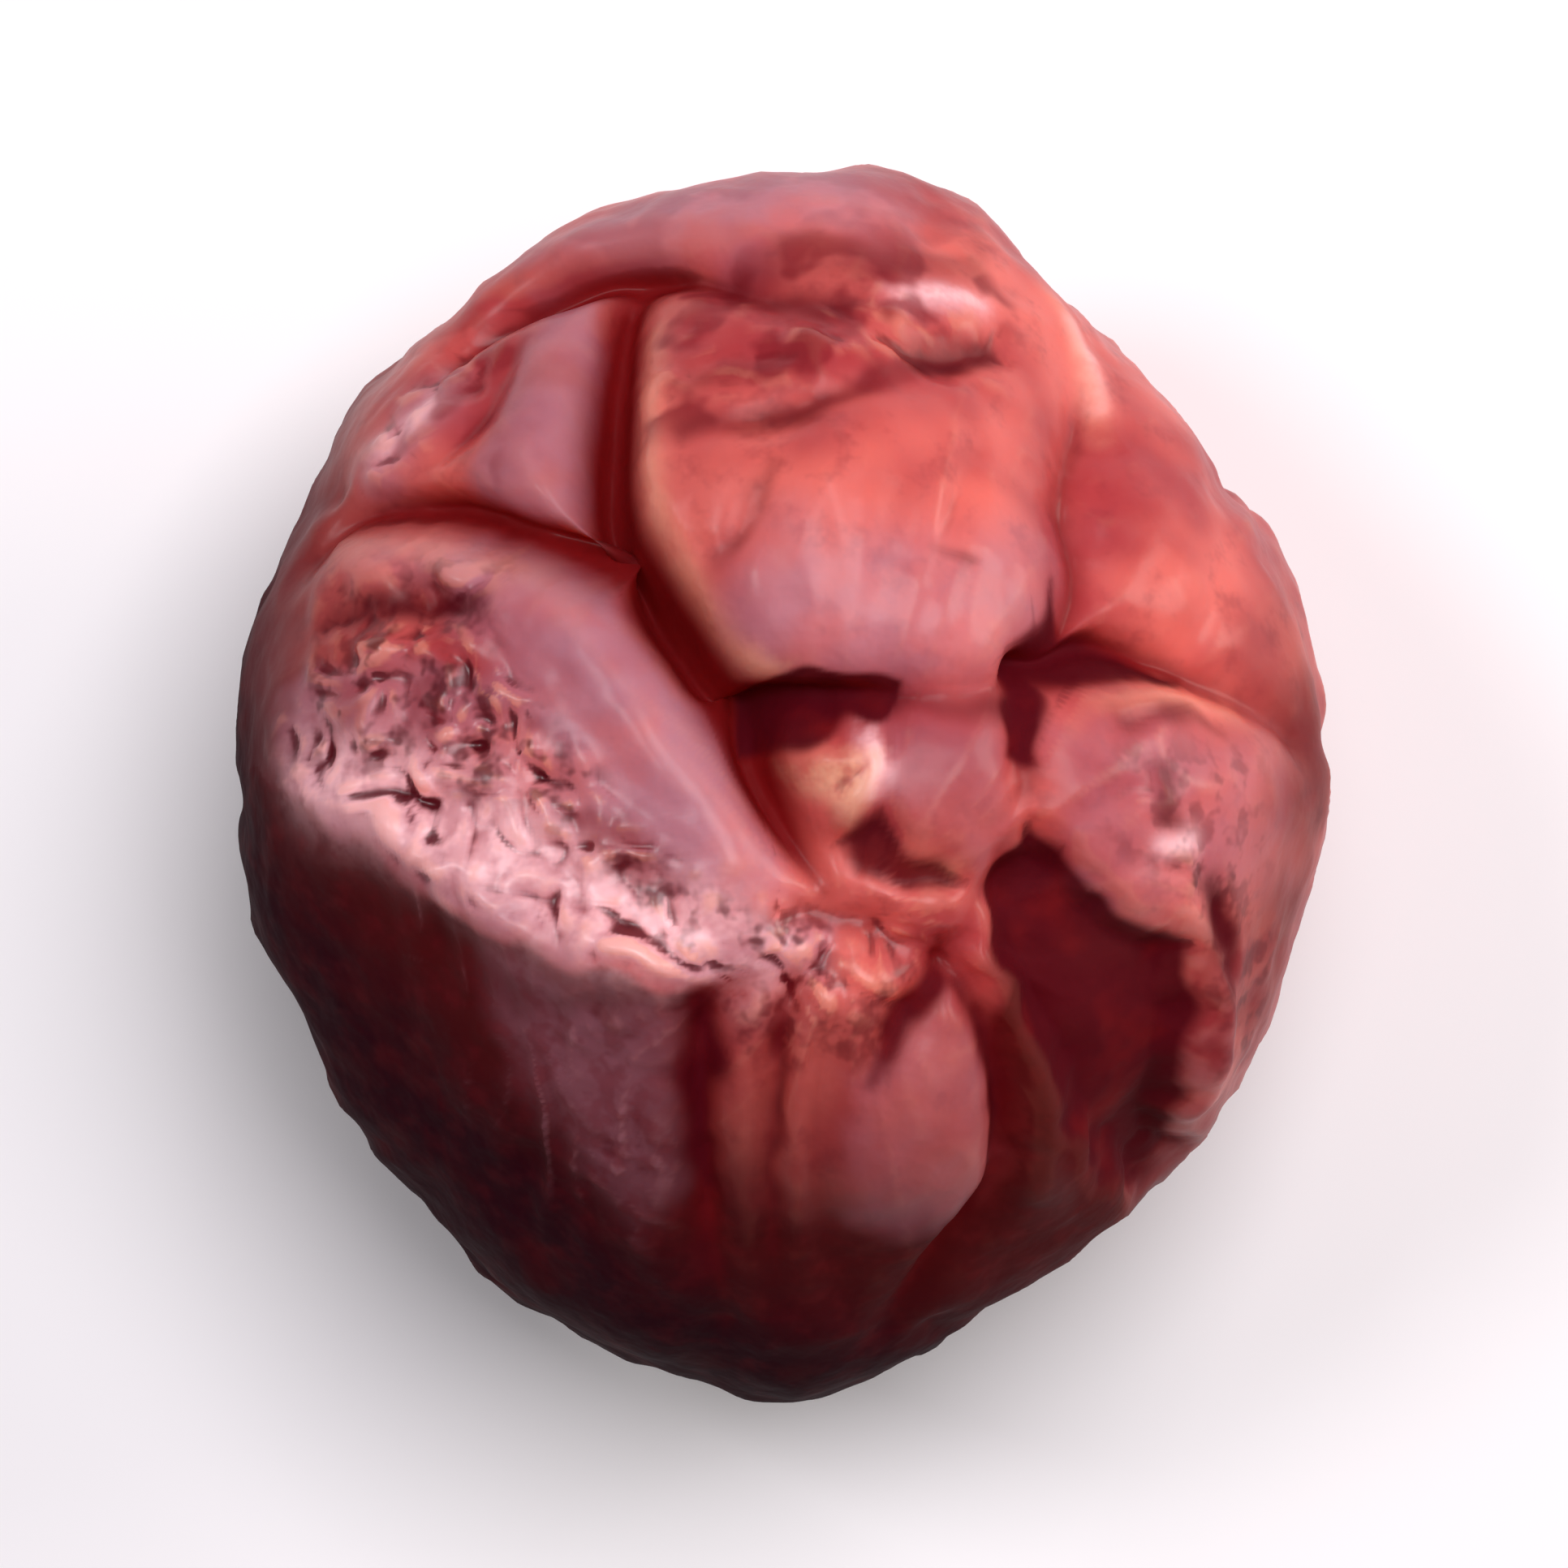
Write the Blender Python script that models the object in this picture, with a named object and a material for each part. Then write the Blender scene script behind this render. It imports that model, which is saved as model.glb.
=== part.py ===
"""A dried cranberry, whole, lying on a small flat spot.

The berry is one solid. Its skin is a closed surface around a middle point: a rounded body with the
outline seen from above, flattened where drying drew the flesh in, less the folds between its lobes.
Lengths in the tables are millimetres. X runs across the berry, Y along it and Z up.
"""

import bmesh
import bpy
import numpy as np

MM = 0.001

# Driving dimensions, in millimetres
LENGTH = 12.0
WIDTH = 10.6
HEIGHT = 8.4
RISE = 4.5
REST_CUT = 0.22

# How round the body is from its widest level up and down: 2 is an ellipse, more is fuller
FULLNESS = 2.15
# How sharply a flattened side meets the round body
FACET_SHARPNESS = 22

# The outline seen from above, around the middle point: x, y
OUTLINE = [
    (5.30, 0.30), (5.16, -0.83), (4.64, -2.62), (4.22, -3.44), (3.48, -4.02), (2.33, -4.88),
    (1.36, -5.61), (0.15, -6.00), (-0.91, -5.77), (-2.12, -5.28), (-3.09, -4.47), (-3.98, -3.50),
    (-4.63, -2.29), (-5.11, -1.08), (-5.19, 0.62), (-4.95, 1.59), (-4.46, 2.85), (-3.64, 4.06),
    (-2.52, 4.99), (-1.72, 5.56), (-0.58, 5.92), (0.47, 6.00), (1.36, 5.84), (2.33, 5.07),
    (4.19, 3.05), (4.84, 1.92),
]

# Flattened sides: bearing from +X and height angle of the plane's normal in degrees, and how deep
# the plane cuts into the round body
FACETS = {
    "left pad": (166, 66, 0.34),
    "lower left flank": (220, 40, 0.42),
    "upper left panel": (125, 48, 0.22),
    "top lobe": (82, 40, 0.20),
    "right strip": (35, 42, 0.25),
    "lower lobe": (285, 42, 0.24),
    "low right flank": (330, 12, 0.06),
    "back flank": (95, -18, 0.26),
    "left underside": (190, -34, 0.40),
    "right underside": (12, -40, 0.34),
    "front underside": (268, -36, 0.34),
}

# Folds of the upper side: width, and the points x, y with the fold's depth there
TOP_FOLDS = {
    "long fold": (0.42, [
        (-1.50, 4.67, 0.60), (-1.60, 3.62, 0.78), (-1.58, 2.56, 0.92), (-1.30, 1.92, 1.00),
        (-0.84, 1.27, 0.95), (-0.36, 0.46, 0.85), (0.08, -0.30, 0.65), (0.48, -1.05, 0.30),
    ]),
    "fold under the top lobe": (0.40, [
        (-3.40, 4.05, 0.15), (-3.01, 4.51, 0.40), (-2.20, 4.83, 0.55), (-1.39, 4.91, 0.60),
        (-0.83, 4.79, 0.42), (0.10, 4.45, 0.15),
    ]),
    "fold over the left pad": (0.38, [
        (-4.60, 2.20, 0.25), (-4.22, 2.56, 0.45), (-3.33, 2.56, 0.62), (-2.52, 2.24, 0.62),
        (-1.72, 1.92, 0.80),
    ]),
    "fold across the middle": (0.40, [
        (-0.50, 0.60, 0.80), (0.20, 0.56, 0.66), (0.85, 0.64, 0.46), (1.45, 0.70, 0.26),
        (2.10, 0.76, 0.32), (2.44, 0.98, 0.42),
    ]),
    "fold to the right edge": (0.42, [
        (2.45, 0.98, 0.52), (3.14, 1.27, 0.56), (3.87, 1.03, 0.42), (4.60, 0.66, 0.25),
        (5.00, 0.38, 0.20),
    ]),
    "fold into the hollow": (0.36, [
        (2.44, 0.98, 0.42), (2.30, 0.40, 0.32), (2.20, -0.30, 0.20), (2.02, -0.95, 0.26),
        (1.62, -1.62, 0.26), (0.90, -1.55, 0.26),
    ]),
    "fold up the right strip": (0.55, [
        (2.60, 1.20, 0.46), (2.82, 1.92, 0.40), (2.72, 2.73, 0.36), (2.90, 3.54, 0.28),
        (2.95, 4.20, 0.14),
    ]),
    "first groove down": (0.42, [
        (-0.10, -1.80, 0.25), (-0.66, -2.15, 0.40), (-0.74, -3.20, 0.38), (-0.66, -4.30, 0.30),
        (-0.50, -5.25, 0.15),
    ]),
    "second groove down": (0.30, [
        (0.40, -1.60, 0.25), (-0.02, -2.20, 0.34), (-0.12, -3.20, 0.32), (-0.10, -4.20, 0.24),
        (0.00, -5.05, 0.10),
    ]),
    "third groove down": (0.30, [
        (0.60, -2.05, 0.06), (0.40, -2.60, 0.20), (0.34, -3.50, 0.22), (0.46, -4.40, 0.16),
        (0.60, -5.10, 0.06),
    ]),
    "groove beside the lower lobe": (0.32, [
        (1.53, -1.72, 0.34), (1.84, -2.00, 0.34), (2.08, -2.60, 0.36), (2.16, -3.30, 0.38),
        (2.06, -3.90, 0.36), (1.68, -4.42, 0.32), (1.35, -4.95, 0.26), (1.10, -5.40, 0.16),
    ]),
    "notch in the lower lobe": (0.26, [
        (0.82, -2.80, 0.10), (1.12, -2.26, 0.28), (1.53, -1.72, 0.34),
    ]),
    "pucker": (0.46, [
        (0.20, -1.22, 0.34), (0.50, -1.32, 0.36), (0.85, -1.42, 0.34),
    ]),
    "crease in the left panel": (0.40, [
        (-2.55, 4.20, 0.12), (-2.85, 3.60, 0.26), (-3.30, 3.05, 0.20), (-3.80, 2.95, 0.08),
    ]),
    "crease in the upper lobe": (0.40, [
        (-0.95, 3.18, 0.10), (-0.30, 3.28, 0.24), (0.55, 3.50, 0.22), (1.30, 3.74, 0.16),
        (2.05, 4.02, 0.08),
    ]),
}

# Folds of the sides and the underside: width, and bearing, height angle and depth at each point
SIDE_FOLDS = {
    "left panel fold, over the edge": (0.44, [
        (148, 14, 0.20), (152, -2, 0.08), (158, -20, 0.36), (150, -38, 0.30), (128, -50, 0.12),
    ]),
    "top fold, over the edge": (0.44, [
        (127, 22, 0.24), (124, 4, 0.08), (118, -12, 0.36), (108, -24, 0.40), (100, -30, 0.30),
    ]),
    "right strip fold, over the edge": (0.46, [
        (57, 26, 0.10), (60, 8, 0.05), (66, -10, 0.32), (80, -22, 0.40), (90, -28, 0.30),
    ]),
    "right fold, over the edge": (0.46, [
        (4, 6, 0.10), (2, -12, 0.28), (16, -32, 0.44), (44, -44, 0.36), (74, -42, 0.26),
    ]),
    "low right fold": (0.42, [
        (316, 22, 0.10), (320, 4, 0.05), (332, -18, 0.42), (348, -36, 0.36), (8, -52, 0.14),
    ]),
    "front fold, over the edge": (0.46, [
        (264, 20, 0.22), (263, 2, 0.08), (252, -18, 0.40), (240, -34, 0.36), (222, -50, 0.14),
    ]),
    "front right fold": (0.42, [
        (286, 12, 0.16), (288, -4, 0.06), (300, -22, 0.40), (310, -44, 0.20),
    ]),
    "left flank fold": (0.46, [
        (214, 26, 0.06), (206, 6, 0.06), (204, -12, 0.34), (214, -32, 0.40), (206, -50, 0.16),
    ]),
    "left side crease": (0.38, [
        (184, 10, 0.02), (178, -6, 0.14), (168, -20, 0.36), (152, -26, 0.28),
    ]),
    "underside cross fold": (0.42, [
        (212, -34, 0.30), (192, -42, 0.42), (168, -40, 0.42), (140, -40, 0.34), (112, -36, 0.30),
    ]),
    "right side crease": (0.40, [
        (34, 14, 0.06), (36, -4, 0.18), (46, -18, 0.34), (64, -26, 0.30), (84, -32, 0.24),
    ]),
    "branch at the back": (0.36, [
        (122, -8, 0.24), (108, -4, 0.26), (92, -2, 0.22), (78, -6, 0.08),
    ]),
    "branch at the front": (0.36, [
        (254, -16, 0.30), (272, -12, 0.26), (290, -18, 0.30),
    ]),
    "branch at the right": (0.36, [
        (2, -10, 0.28), (342, -8, 0.24), (326, -12, 0.26),
    ]),
    "branch at the left": (0.34, [
        (205, -10, 0.22), (222, -6, 0.24), (238, -10, 0.18), (250, -16, 0.26),
    ]),
}

# Raised edges of the upper side: width, and the points x, y with the height there
EDGES = {
    "lower edge of the left pad": (0.42, [
        (-4.63, 0.10, 0.06), (-3.33, -0.67, 0.20), (-2.28, -1.32, 0.26), (-1.23, -1.80, 0.24),
        (-0.30, -1.95, 0.10),
    ]),
    "rim of the left pad": (0.30, [
        (-3.90, 1.95, 0.05), (-2.70, 1.75, 0.10), (-1.80, 1.30, 0.12), (-1.25, 0.50, 0.12),
        (-0.70, -0.35, 0.10), (-0.15, -1.05, 0.04),
    ]),
    "edge of the right flank": (0.26, [
        (3.40, -0.92, 0.05), (3.86, -1.50, 0.14), (4.02, -2.40, 0.18), (4.00, -3.20, 0.08),
    ]),
    "edge of the top lobe": (0.34, [
        (-2.70, 5.00, 0.06), (-1.70, 5.25, 0.12), (-0.50, 5.20, 0.06),
    ]),
}

# The scar where the stalk was: bearing and height angle, the radius and depth of its pit, the radius,
# width and height of the ring in it, and the radius and depth of its eye
SCAR_BEARING = 96
SCAR_ANGLE = -27
SCAR_PIT = (1.05, 0.50)
SCAR_RING = (0.48, 0.20, 0.36)
SCAR_EYE = (0.17, 0.30)

# Broad swells of the lobes of the upper side, and one hollow: x, y, radius and height
SWELLS = [
    (-2.40, 0.70, 1.5, 0.08),
    (0.70, 2.20, 1.6, 0.12),
    (1.60, 0.05, 0.7, 0.06),
    (3.60, -0.20, 1.1, 0.14),
    (1.20, -3.40, 1.1, 0.12),
    (0.20, 5.20, 1.2, 0.08),
    (-3.00, 3.55, 0.8, -0.14),
]
# Sunken areas of the upper side: width of the edge, depth, and the corners x, y of the ring round it
SUNKEN = {
    "hollow": (0.60, 0.38, [
        (2.30, -0.50), (2.62, -0.62), (2.90, -1.12), (3.30, -1.28), (3.74, -1.55), (3.88, -2.40),
        (3.78, -3.20), (3.88, -3.60), (3.45, -4.05), (3.06, -3.70), (2.72, -3.10), (2.42, -2.40),
        (2.12, -1.65), (2.00, -1.10),
    ]),
    "pocket": (0.44, 0.20, [
        (0.56, -0.58), (0.93, -0.32), (1.52, -0.70), (1.64, -0.92), (1.26, -1.05), (0.80, -0.92),
    ]),
    "dimple": (0.50, 0.12, [
        (-4.20, 1.35), (-3.40, 1.40), (-2.85, 1.50), (-2.90, 1.82), (-3.40, 1.92), (-4.10, 1.85),
    ]),
}
# Height over the widest level by which a sunken area has its full depth
SUNKEN_FADE = 1.2

# Fold shape: radius at its bottom, the shares and widths of its steep and its broad part as shares of
# the fold's own, and how little folds that meet add to each other
FOLD_FLOOR = 0.10
STEEP_SHARE, STEEP_WIDTH = 0.70, 0.80
BROAD_SHARE, BROAD_WIDTH = 0.30, 1.60
FOLD_BLEND = 3.0

# Unevenness of the skin: how many waves, their shortest and longest length, and their height
WAVES = 60
WAVE_SIZE = (0.9, 2.6)
WAVE_HEIGHT = 0.035
WAVE_SEED = 7

# Mesh: cuts along each edge of the starting cube, how much finer it is on the upper side, steps of a
# smooth path between two of its points, and how far and how strongly folds draw the mesh in
CUTS = 27
UPPER_DETAIL = 0.16
PATH_STEPS = 8
DRAW_REACH = 0.60
DRAW_SHARE = 0.60
# Steps that find the body's height over a plan point, the turn between near directions, and the
# height in metres under which a face belongs to the resting flat
HEIGHT_GUESSES = 14
NEAR = 0.001
FLAT = 1e-9

SKIN_COLOUR = (0.20, 0.012, 0.020, 1.0)
SKIN_ROUGHNESS = 0.34
SKIN_METALLIC = 0.0


def unit(vectors):
    """The vectors at length one."""
    return vectors / np.linalg.norm(vectors, axis=-1, keepdims=True)


def direction(bearing, angle):
    """Unit vector at a bearing from +X and a height angle, both in degrees."""
    b, a = np.radians(bearing), np.radians(angle)
    return np.stack([np.cos(a) * np.cos(b), np.cos(a) * np.sin(b), np.sin(a)], axis=-1)


def smooth_path(points, closed=False):
    """A Catmull-Rom curve: a cubic over each span, leaning at both ends along the neighbours."""
    p = np.array(points, float)
    if closed:
        p = np.vstack([p[-1:], p, p[:2]])
    else:
        p = np.vstack([2 * p[:1] - p[1:2], p, 2 * p[-1:] - p[-2:-1]])
    t = np.linspace(0, 1, PATH_STEPS, endpoint=False)[:, None]
    spans = [
        b + 0.5 * t * (c - a + t * (2 * a - 5 * b + 4 * c - d + t * (3 * b - a - 3 * c + d)))
        for a, b, c, d in zip(p, p[1:], p[2:], p[3:])
    ]
    return np.vstack(spans + [p[-2:-1]])


OUTLINE_CURVE = smooth_path(OUTLINE, closed=True)


def outline_reach(bearing):
    """How far the outline lies from the middle at each bearing, in radians."""
    x, y = OUTLINE_CURVE.T
    return np.interp(bearing, np.arctan2(y, x), np.hypot(x, y), period=2 * np.pi)


def round_radius(u):
    """Distance from the middle to the round body: a superellipse from the outline up and down."""
    across = np.hypot(u[:, 0], u[:, 1]) / outline_reach(np.arctan2(u[:, 1], u[:, 0]))
    up = np.abs(u[:, 2]) / np.where(u[:, 2] > 0, RISE, HEIGHT + REST_CUT - RISE)
    return (across**FULLNESS + up**FULLNESS) ** (-1 / FULLNESS)


def facet_planes():
    """Each facet's normal over its distance: the plane that touches the round body, moved in."""
    bearings, angles = np.meshgrid(np.arange(0, 360, 2), np.arange(-90, 91, 2))
    u = direction(bearings.ravel(), angles.ravel())
    body = u * round_radius(u)[:, None]
    normals = [direction(bearing, angle) for bearing, angle, _ in FACETS.values()]
    cuts = [cut for _, _, cut in FACETS.values()]
    reach = (body @ np.transpose(normals)).max(0) - cuts
    return np.array(normals) / reach[:, None]


FACET_PLANES = facet_planes()


def body_radius(u):
    """The round body cut by the facets' planes, with the edges between them rounded."""
    crowd = (np.maximum(u @ FACET_PLANES.T, 0) ** FACET_SHARPNESS).sum(1)
    crowd += round_radius(u) ** -FACET_SHARPNESS
    return crowd ** (-1 / FACET_SHARPNESS)


def over(plan):
    """Directions of the upper side's points over x, y: the height is guessed, then corrected."""
    plan = np.array(plan, float)
    height = np.full(len(plan), RISE / 2)
    for _ in range(HEIGHT_GUESSES):
        u = unit(np.column_stack([plan, height]))
        height = (height + body_radius(u) * u[:, 2]) / 2
    return unit(np.column_stack([plan, height]))


def on_body(u):
    """Points of the body in these directions."""
    return u * body_radius(u)[:, None]


def nearest(points, path):
    """Each point's nearest place on a path, its distance, and the path's last column there."""
    start, step = path[:-1, :3], np.diff(path[:, :3], axis=0)
    offset = points[:, None] - start
    along = (offset * step).sum(2) / (step * step).sum(1)
    along = np.clip(along, 0, 1)
    best = np.linalg.norm(offset - along[..., None] * step, axis=2).argmin(1)
    share = along[np.arange(len(points)), best][:, None]
    place = path[best] * (1 - share) + path[best + 1] * share
    return place[:, :3], np.linalg.norm(points - place[:, :3], axis=1), place[:, 3]


def paths_on_body(table, aim):
    """Each row of a table as its width and a smooth path on the body, with a fourth column."""
    for width, rows in table.values():
        rows = np.array(rows)
        yield width, smooth_path(np.column_stack([on_body(aim(rows[:, :2])), rows[:, 2]]))


def fold_paths():
    """Every fold, of the upper side first."""
    return [
        *paths_on_body(TOP_FOLDS, over),
        *paths_on_body(SIDE_FOLDS, lambda rows: direction(rows[:, 0], rows[:, 1])),
    ]


def fold_depth(points, folds):
    """How deep the folds are at each point.

    Each fold has a steep and a broad part, which fall off as e to the minus distance over width.
    """
    total = np.zeros(len(points))
    for width, path in folds:
        _, gap, depth = nearest(points, path)
        gap = np.hypot(gap, FOLD_FLOOR) - FOLD_FLOOR
        steep = STEEP_SHARE * np.exp(-gap / (STEEP_WIDTH * width))
        broad = BROAD_SHARE * np.exp(-gap / (BROAD_WIDTH * width))
        total += (depth * (steep + broad)) ** FOLD_BLEND
    return total ** (1 / FOLD_BLEND)


def edge_height(points):
    """How far the raised edges stand up: a bell curve of the distance from each."""
    total = np.zeros(len(points))
    for width, path in paths_on_body(EDGES, over):
        _, gap, height = nearest(points, path)
        total += height * np.exp(-((gap / width) ** 2))
    return total


def drawn_in(u, folds):
    """Directions moved to the near folds and the scar: the mesh is finest where the skin bends."""
    points = on_body(u)
    places = [nearest(points, path)[0] for _, path in folds] + [scar_centre()]
    shift, crowd = np.zeros_like(points), np.zeros(len(points))
    for place in places:
        weight = np.exp(-((place - points) ** 2).sum(1) / DRAW_REACH**2)
        shift += weight[:, None] * (place - points)
        crowd += weight
    return unit(points + DRAW_SHARE * shift / np.maximum(crowd, 1)[:, None])


def bell(points, centre, radius):
    """One at the centre, falling off as a bell curve of this radius."""
    return np.exp(-(((points - centre) ** 2).sum(1)) / radius**2)


def swell_height(points):
    """Broad rise of the lobes."""
    total = np.zeros(len(points))
    for x, y, radius, height in SWELLS:
        total += height * bell(points, on_body(over([(x, y)])), radius)
    return total


def inside(points, edge, corners):
    """One in a ring of corners seen from above and zero beyond it, with an S curve between.

    A point is inside where a line from it to the right crosses the ring an odd number of times.
    """
    plan, start = points[:, :2], np.array(corners)
    step, offset = np.roll(start, -1, axis=0) - start, plan[:, None] - start
    along = np.clip((offset * step).sum(2) / (step * step).sum(1), 0, 1)
    gap = np.linalg.norm(offset - along[..., None] * step, axis=2).min(1)
    spans = (offset[..., 1] < 0) != (offset[..., 1] < step[:, 1])
    run = step[:, 0] / np.where(step[:, 1] == 0, 1, step[:, 1])
    odd = (spans & (offset[..., 0] < offset[..., 1] * run)).sum(1) % 2 == 1
    share = np.clip(0.5 + np.where(odd, gap, -gap) / edge, 0, 1)
    return share**2 * (3 - 2 * share)


def sunken_depth(points):
    """How deep the sunken areas are: none below the widest level, and full a little over it."""
    areas = [depth * inside(points, edge, corners) for edge, depth, corners in SUNKEN.values()]
    return sum(areas) * np.clip(points[:, 2] / SUNKEN_FADE, 0, 1)


def scar_centre():
    """The middle of the stalk scar on the body."""
    return on_body(direction(SCAR_BEARING, SCAR_ANGLE)[None])


def scar_height(points):
    """A pit with a raised ring in it and a sunk eye in the middle of the ring."""
    gap = np.linalg.norm(points - scar_centre(), axis=1)
    pit_radius, pit_depth = SCAR_PIT
    ring_radius, ring_width, ring_height = SCAR_RING
    eye_radius, eye_depth = SCAR_EYE
    pit = -pit_depth * np.exp(-((gap / pit_radius) ** 4))
    ring = ring_height * np.exp(-(((gap - ring_radius) / ring_width) ** 2))
    eye = -eye_depth * np.exp(-((gap / eye_radius) ** 2))
    return pit + ring + eye


def waves(points):
    """Uneven skin: a sum of plane waves with seeded directions, lengths and starts."""
    rng = np.random.default_rng(WAVE_SEED)
    ways = unit(rng.normal(size=(WAVES, 3)))
    lengths = rng.uniform(*WAVE_SIZE, WAVES)
    starts = rng.uniform(0, 2 * np.pi, WAVES)
    phases = points @ (ways * (2 * np.pi / lengths)[:, None]).T + starts
    return WAVE_HEIGHT * np.sin(phases).sum(1) * (2 / WAVES) ** 0.5


def outward(u):
    """Outward normals of the body, across the small triangle of three near directions."""
    side = unit(np.cross(u, u[:, [1, 2, 0]] + [0, 0, 1]))
    ahead = np.cross(u, side)
    here = on_body(u)
    to_side = on_body(unit(u + NEAR * side)) - here
    to_ahead = on_body(unit(u + NEAR * ahead)) - here
    return unit(np.cross(to_side, to_ahead))


def berry_points(u):
    """Points of the skin in millimetres, in the part's own frame, for directions from the middle."""
    folds = fold_paths()
    u = drawn_in(u, folds)
    body = on_body(u)
    height = swell_height(body) + edge_height(body) + waves(body) + scar_height(body)
    height -= fold_depth(body, folds) + sunken_depth(body)
    skin = body + outward(u) * height[:, None]
    floor = skin[:, 2].min() + REST_CUT
    skin[:, 2] = np.maximum(skin[:, 2], floor)
    low, high = skin.min(0), skin.max(0)
    size = np.array([WIDTH, LENGTH, HEIGHT])
    places = (skin - low) / (high - low) * size
    return places - size * [0.5, 0.5, 0]


def cube_to_directions(corners):
    """Points of a cube of half side one, spread to near even directions, denser towards the top."""
    spread = unit(np.tan(corners * np.pi / 4))
    return unit(spread + [0, 0, UPPER_DETAIL])


def build_berry():
    """The berry's mesh object: a gridded cube whose points are moved onto the skin."""
    grid = bmesh.new()
    bmesh.ops.create_cube(grid, size=2)
    bmesh.ops.subdivide_edges(grid, edges=grid.edges[:], cuts=CUTS, use_grid_fill=True)
    corners = np.array([vertex.co[:] for vertex in grid.verts])
    places = berry_points(cube_to_directions(corners))
    for vertex, place in zip(grid.verts, places):
        vertex.co = place * MM
    flat_faces = [f for f in grid.faces if max(v.co.z for v in f.verts) < FLAT]
    bmesh.ops.dissolve_faces(grid, faces=flat_faces, use_verts=True)
    bmesh.ops.triangulate(grid, faces=grid.faces[:], quad_method="SHORT_EDGE")
    bmesh.ops.recalc_face_normals(grid, faces=grid.faces[:])
    mesh = bpy.data.meshes.new("cranberry")
    grid.to_mesh(mesh)
    grid.free()
    mesh.shade_smooth()
    return bpy.data.objects.new("cranberry", mesh)


def skin_material():
    """Glossy dark red skin."""
    material = bpy.data.materials.new("skin")
    material.use_nodes = True
    shader = material.node_tree.nodes["Principled BSDF"]
    shader.inputs["Base Color"].default_value = SKIN_COLOUR
    shader.inputs["Roughness"].default_value = SKIN_ROUGHNESS
    shader.inputs["Metallic"].default_value = SKIN_METALLIC
    return material


def main():
    for old in list(bpy.data.objects):
        bpy.data.objects.remove(old, do_unlink=True)
    collection = bpy.data.collections.new("dried cranberry")
    bpy.context.scene.collection.children.link(collection)
    berry = build_berry()
    berry.data.materials.append(skin_material())
    collection.objects.link(berry)


main()
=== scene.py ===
# %% [markdown]
# # A dried cranberry
# This script dresses the packed model of one dried cranberry: a round berry whose skin has folded
# into lobes as the flesh shrank. The packed solid already has the outline, the height, the large
# folds and the small flat spot that the berry rests on. What it lacks is the skin seen from close by:
# slits that lean under the lobe beside them, pleats across the folds, a net of fine wrinkles, and a
# sticky, translucent red that goes from black in the folds, which is painted shade, to orange where
# the skin is thin, which is painted glow.
#
# The same formulas that shaped the solid are worked out here again on a mesh with twenty times as
# many triangles, so the new skin lies where the solid's does. The frame is loaded first, and its
# box is kept.

# %% The frame
import bpy
import numpy as np
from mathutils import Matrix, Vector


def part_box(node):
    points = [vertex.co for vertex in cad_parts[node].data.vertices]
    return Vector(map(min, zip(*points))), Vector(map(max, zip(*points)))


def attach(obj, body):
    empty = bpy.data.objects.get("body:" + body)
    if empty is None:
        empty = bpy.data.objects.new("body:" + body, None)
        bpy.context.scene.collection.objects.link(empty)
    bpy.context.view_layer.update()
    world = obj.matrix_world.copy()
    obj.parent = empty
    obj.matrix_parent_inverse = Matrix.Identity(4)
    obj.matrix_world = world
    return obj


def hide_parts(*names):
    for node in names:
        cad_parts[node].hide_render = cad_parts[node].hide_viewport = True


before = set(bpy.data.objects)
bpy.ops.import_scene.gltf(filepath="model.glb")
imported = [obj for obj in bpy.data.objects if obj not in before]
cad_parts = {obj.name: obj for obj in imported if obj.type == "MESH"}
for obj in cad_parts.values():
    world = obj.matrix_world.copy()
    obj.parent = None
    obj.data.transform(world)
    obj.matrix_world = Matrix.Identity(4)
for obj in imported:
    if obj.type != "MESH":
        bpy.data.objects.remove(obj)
MM = 0.001
CAD_LOW, CAD_HIGH = (np.array(corner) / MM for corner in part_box("cranberry"))
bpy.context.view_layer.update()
print("solid, mm:", (CAD_HIGH - CAD_LOW).round(2), "from", CAD_LOW.round(2))

# %% [markdown]
# ## The camera
# The photograph was taken from straight above, so the camera looks straight down with the berry's
# long side up the picture. A berry is small and a camera that came close would show it bulging, so
# the lens is long and the camera stands well back, as a product photographer would do it.

# %% The camera
FRAME_HEIGHT = 15.2 * MM
LENS = 180.0
SENSOR = 36.0


def make_camera():
    """A camera over the berry: its distance is half the frame over the tangent of half the angle."""
    data = bpy.data.cameras.new("camera")
    data.lens, data.sensor_width = LENS, SENSOR
    data.clip_start, data.clip_end = 0.002, 5.0
    camera = bpy.data.objects.new("camera", data)
    middle = (CAD_LOW + CAD_HIGH) / 2 * MM
    distance = FRAME_HEIGHT * LENS / SENSOR
    camera.location = (middle[0], middle[1], middle[2] + distance)
    bpy.context.scene.collection.objects.link(camera)
    bpy.context.scene.camera = camera
    return distance


print("camera height over the berry's middle, mm:", round(make_camera() / MM, 1))

# %% [markdown]
# ## The body
# A berry could start from Blender's sphere and a sculpting brush, but then nothing in it could be
# named or changed later. Here the body is a function: for each direction from the berry's middle it
# gives the distance to the skin. It starts as a superellipse that has the outline seen from above
# and the height on both sides of the widest level. Then planes flatten it where drying drew the
# flesh in. The flattening is a smooth minimum, which leaves soft edges between the flat sides.

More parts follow.
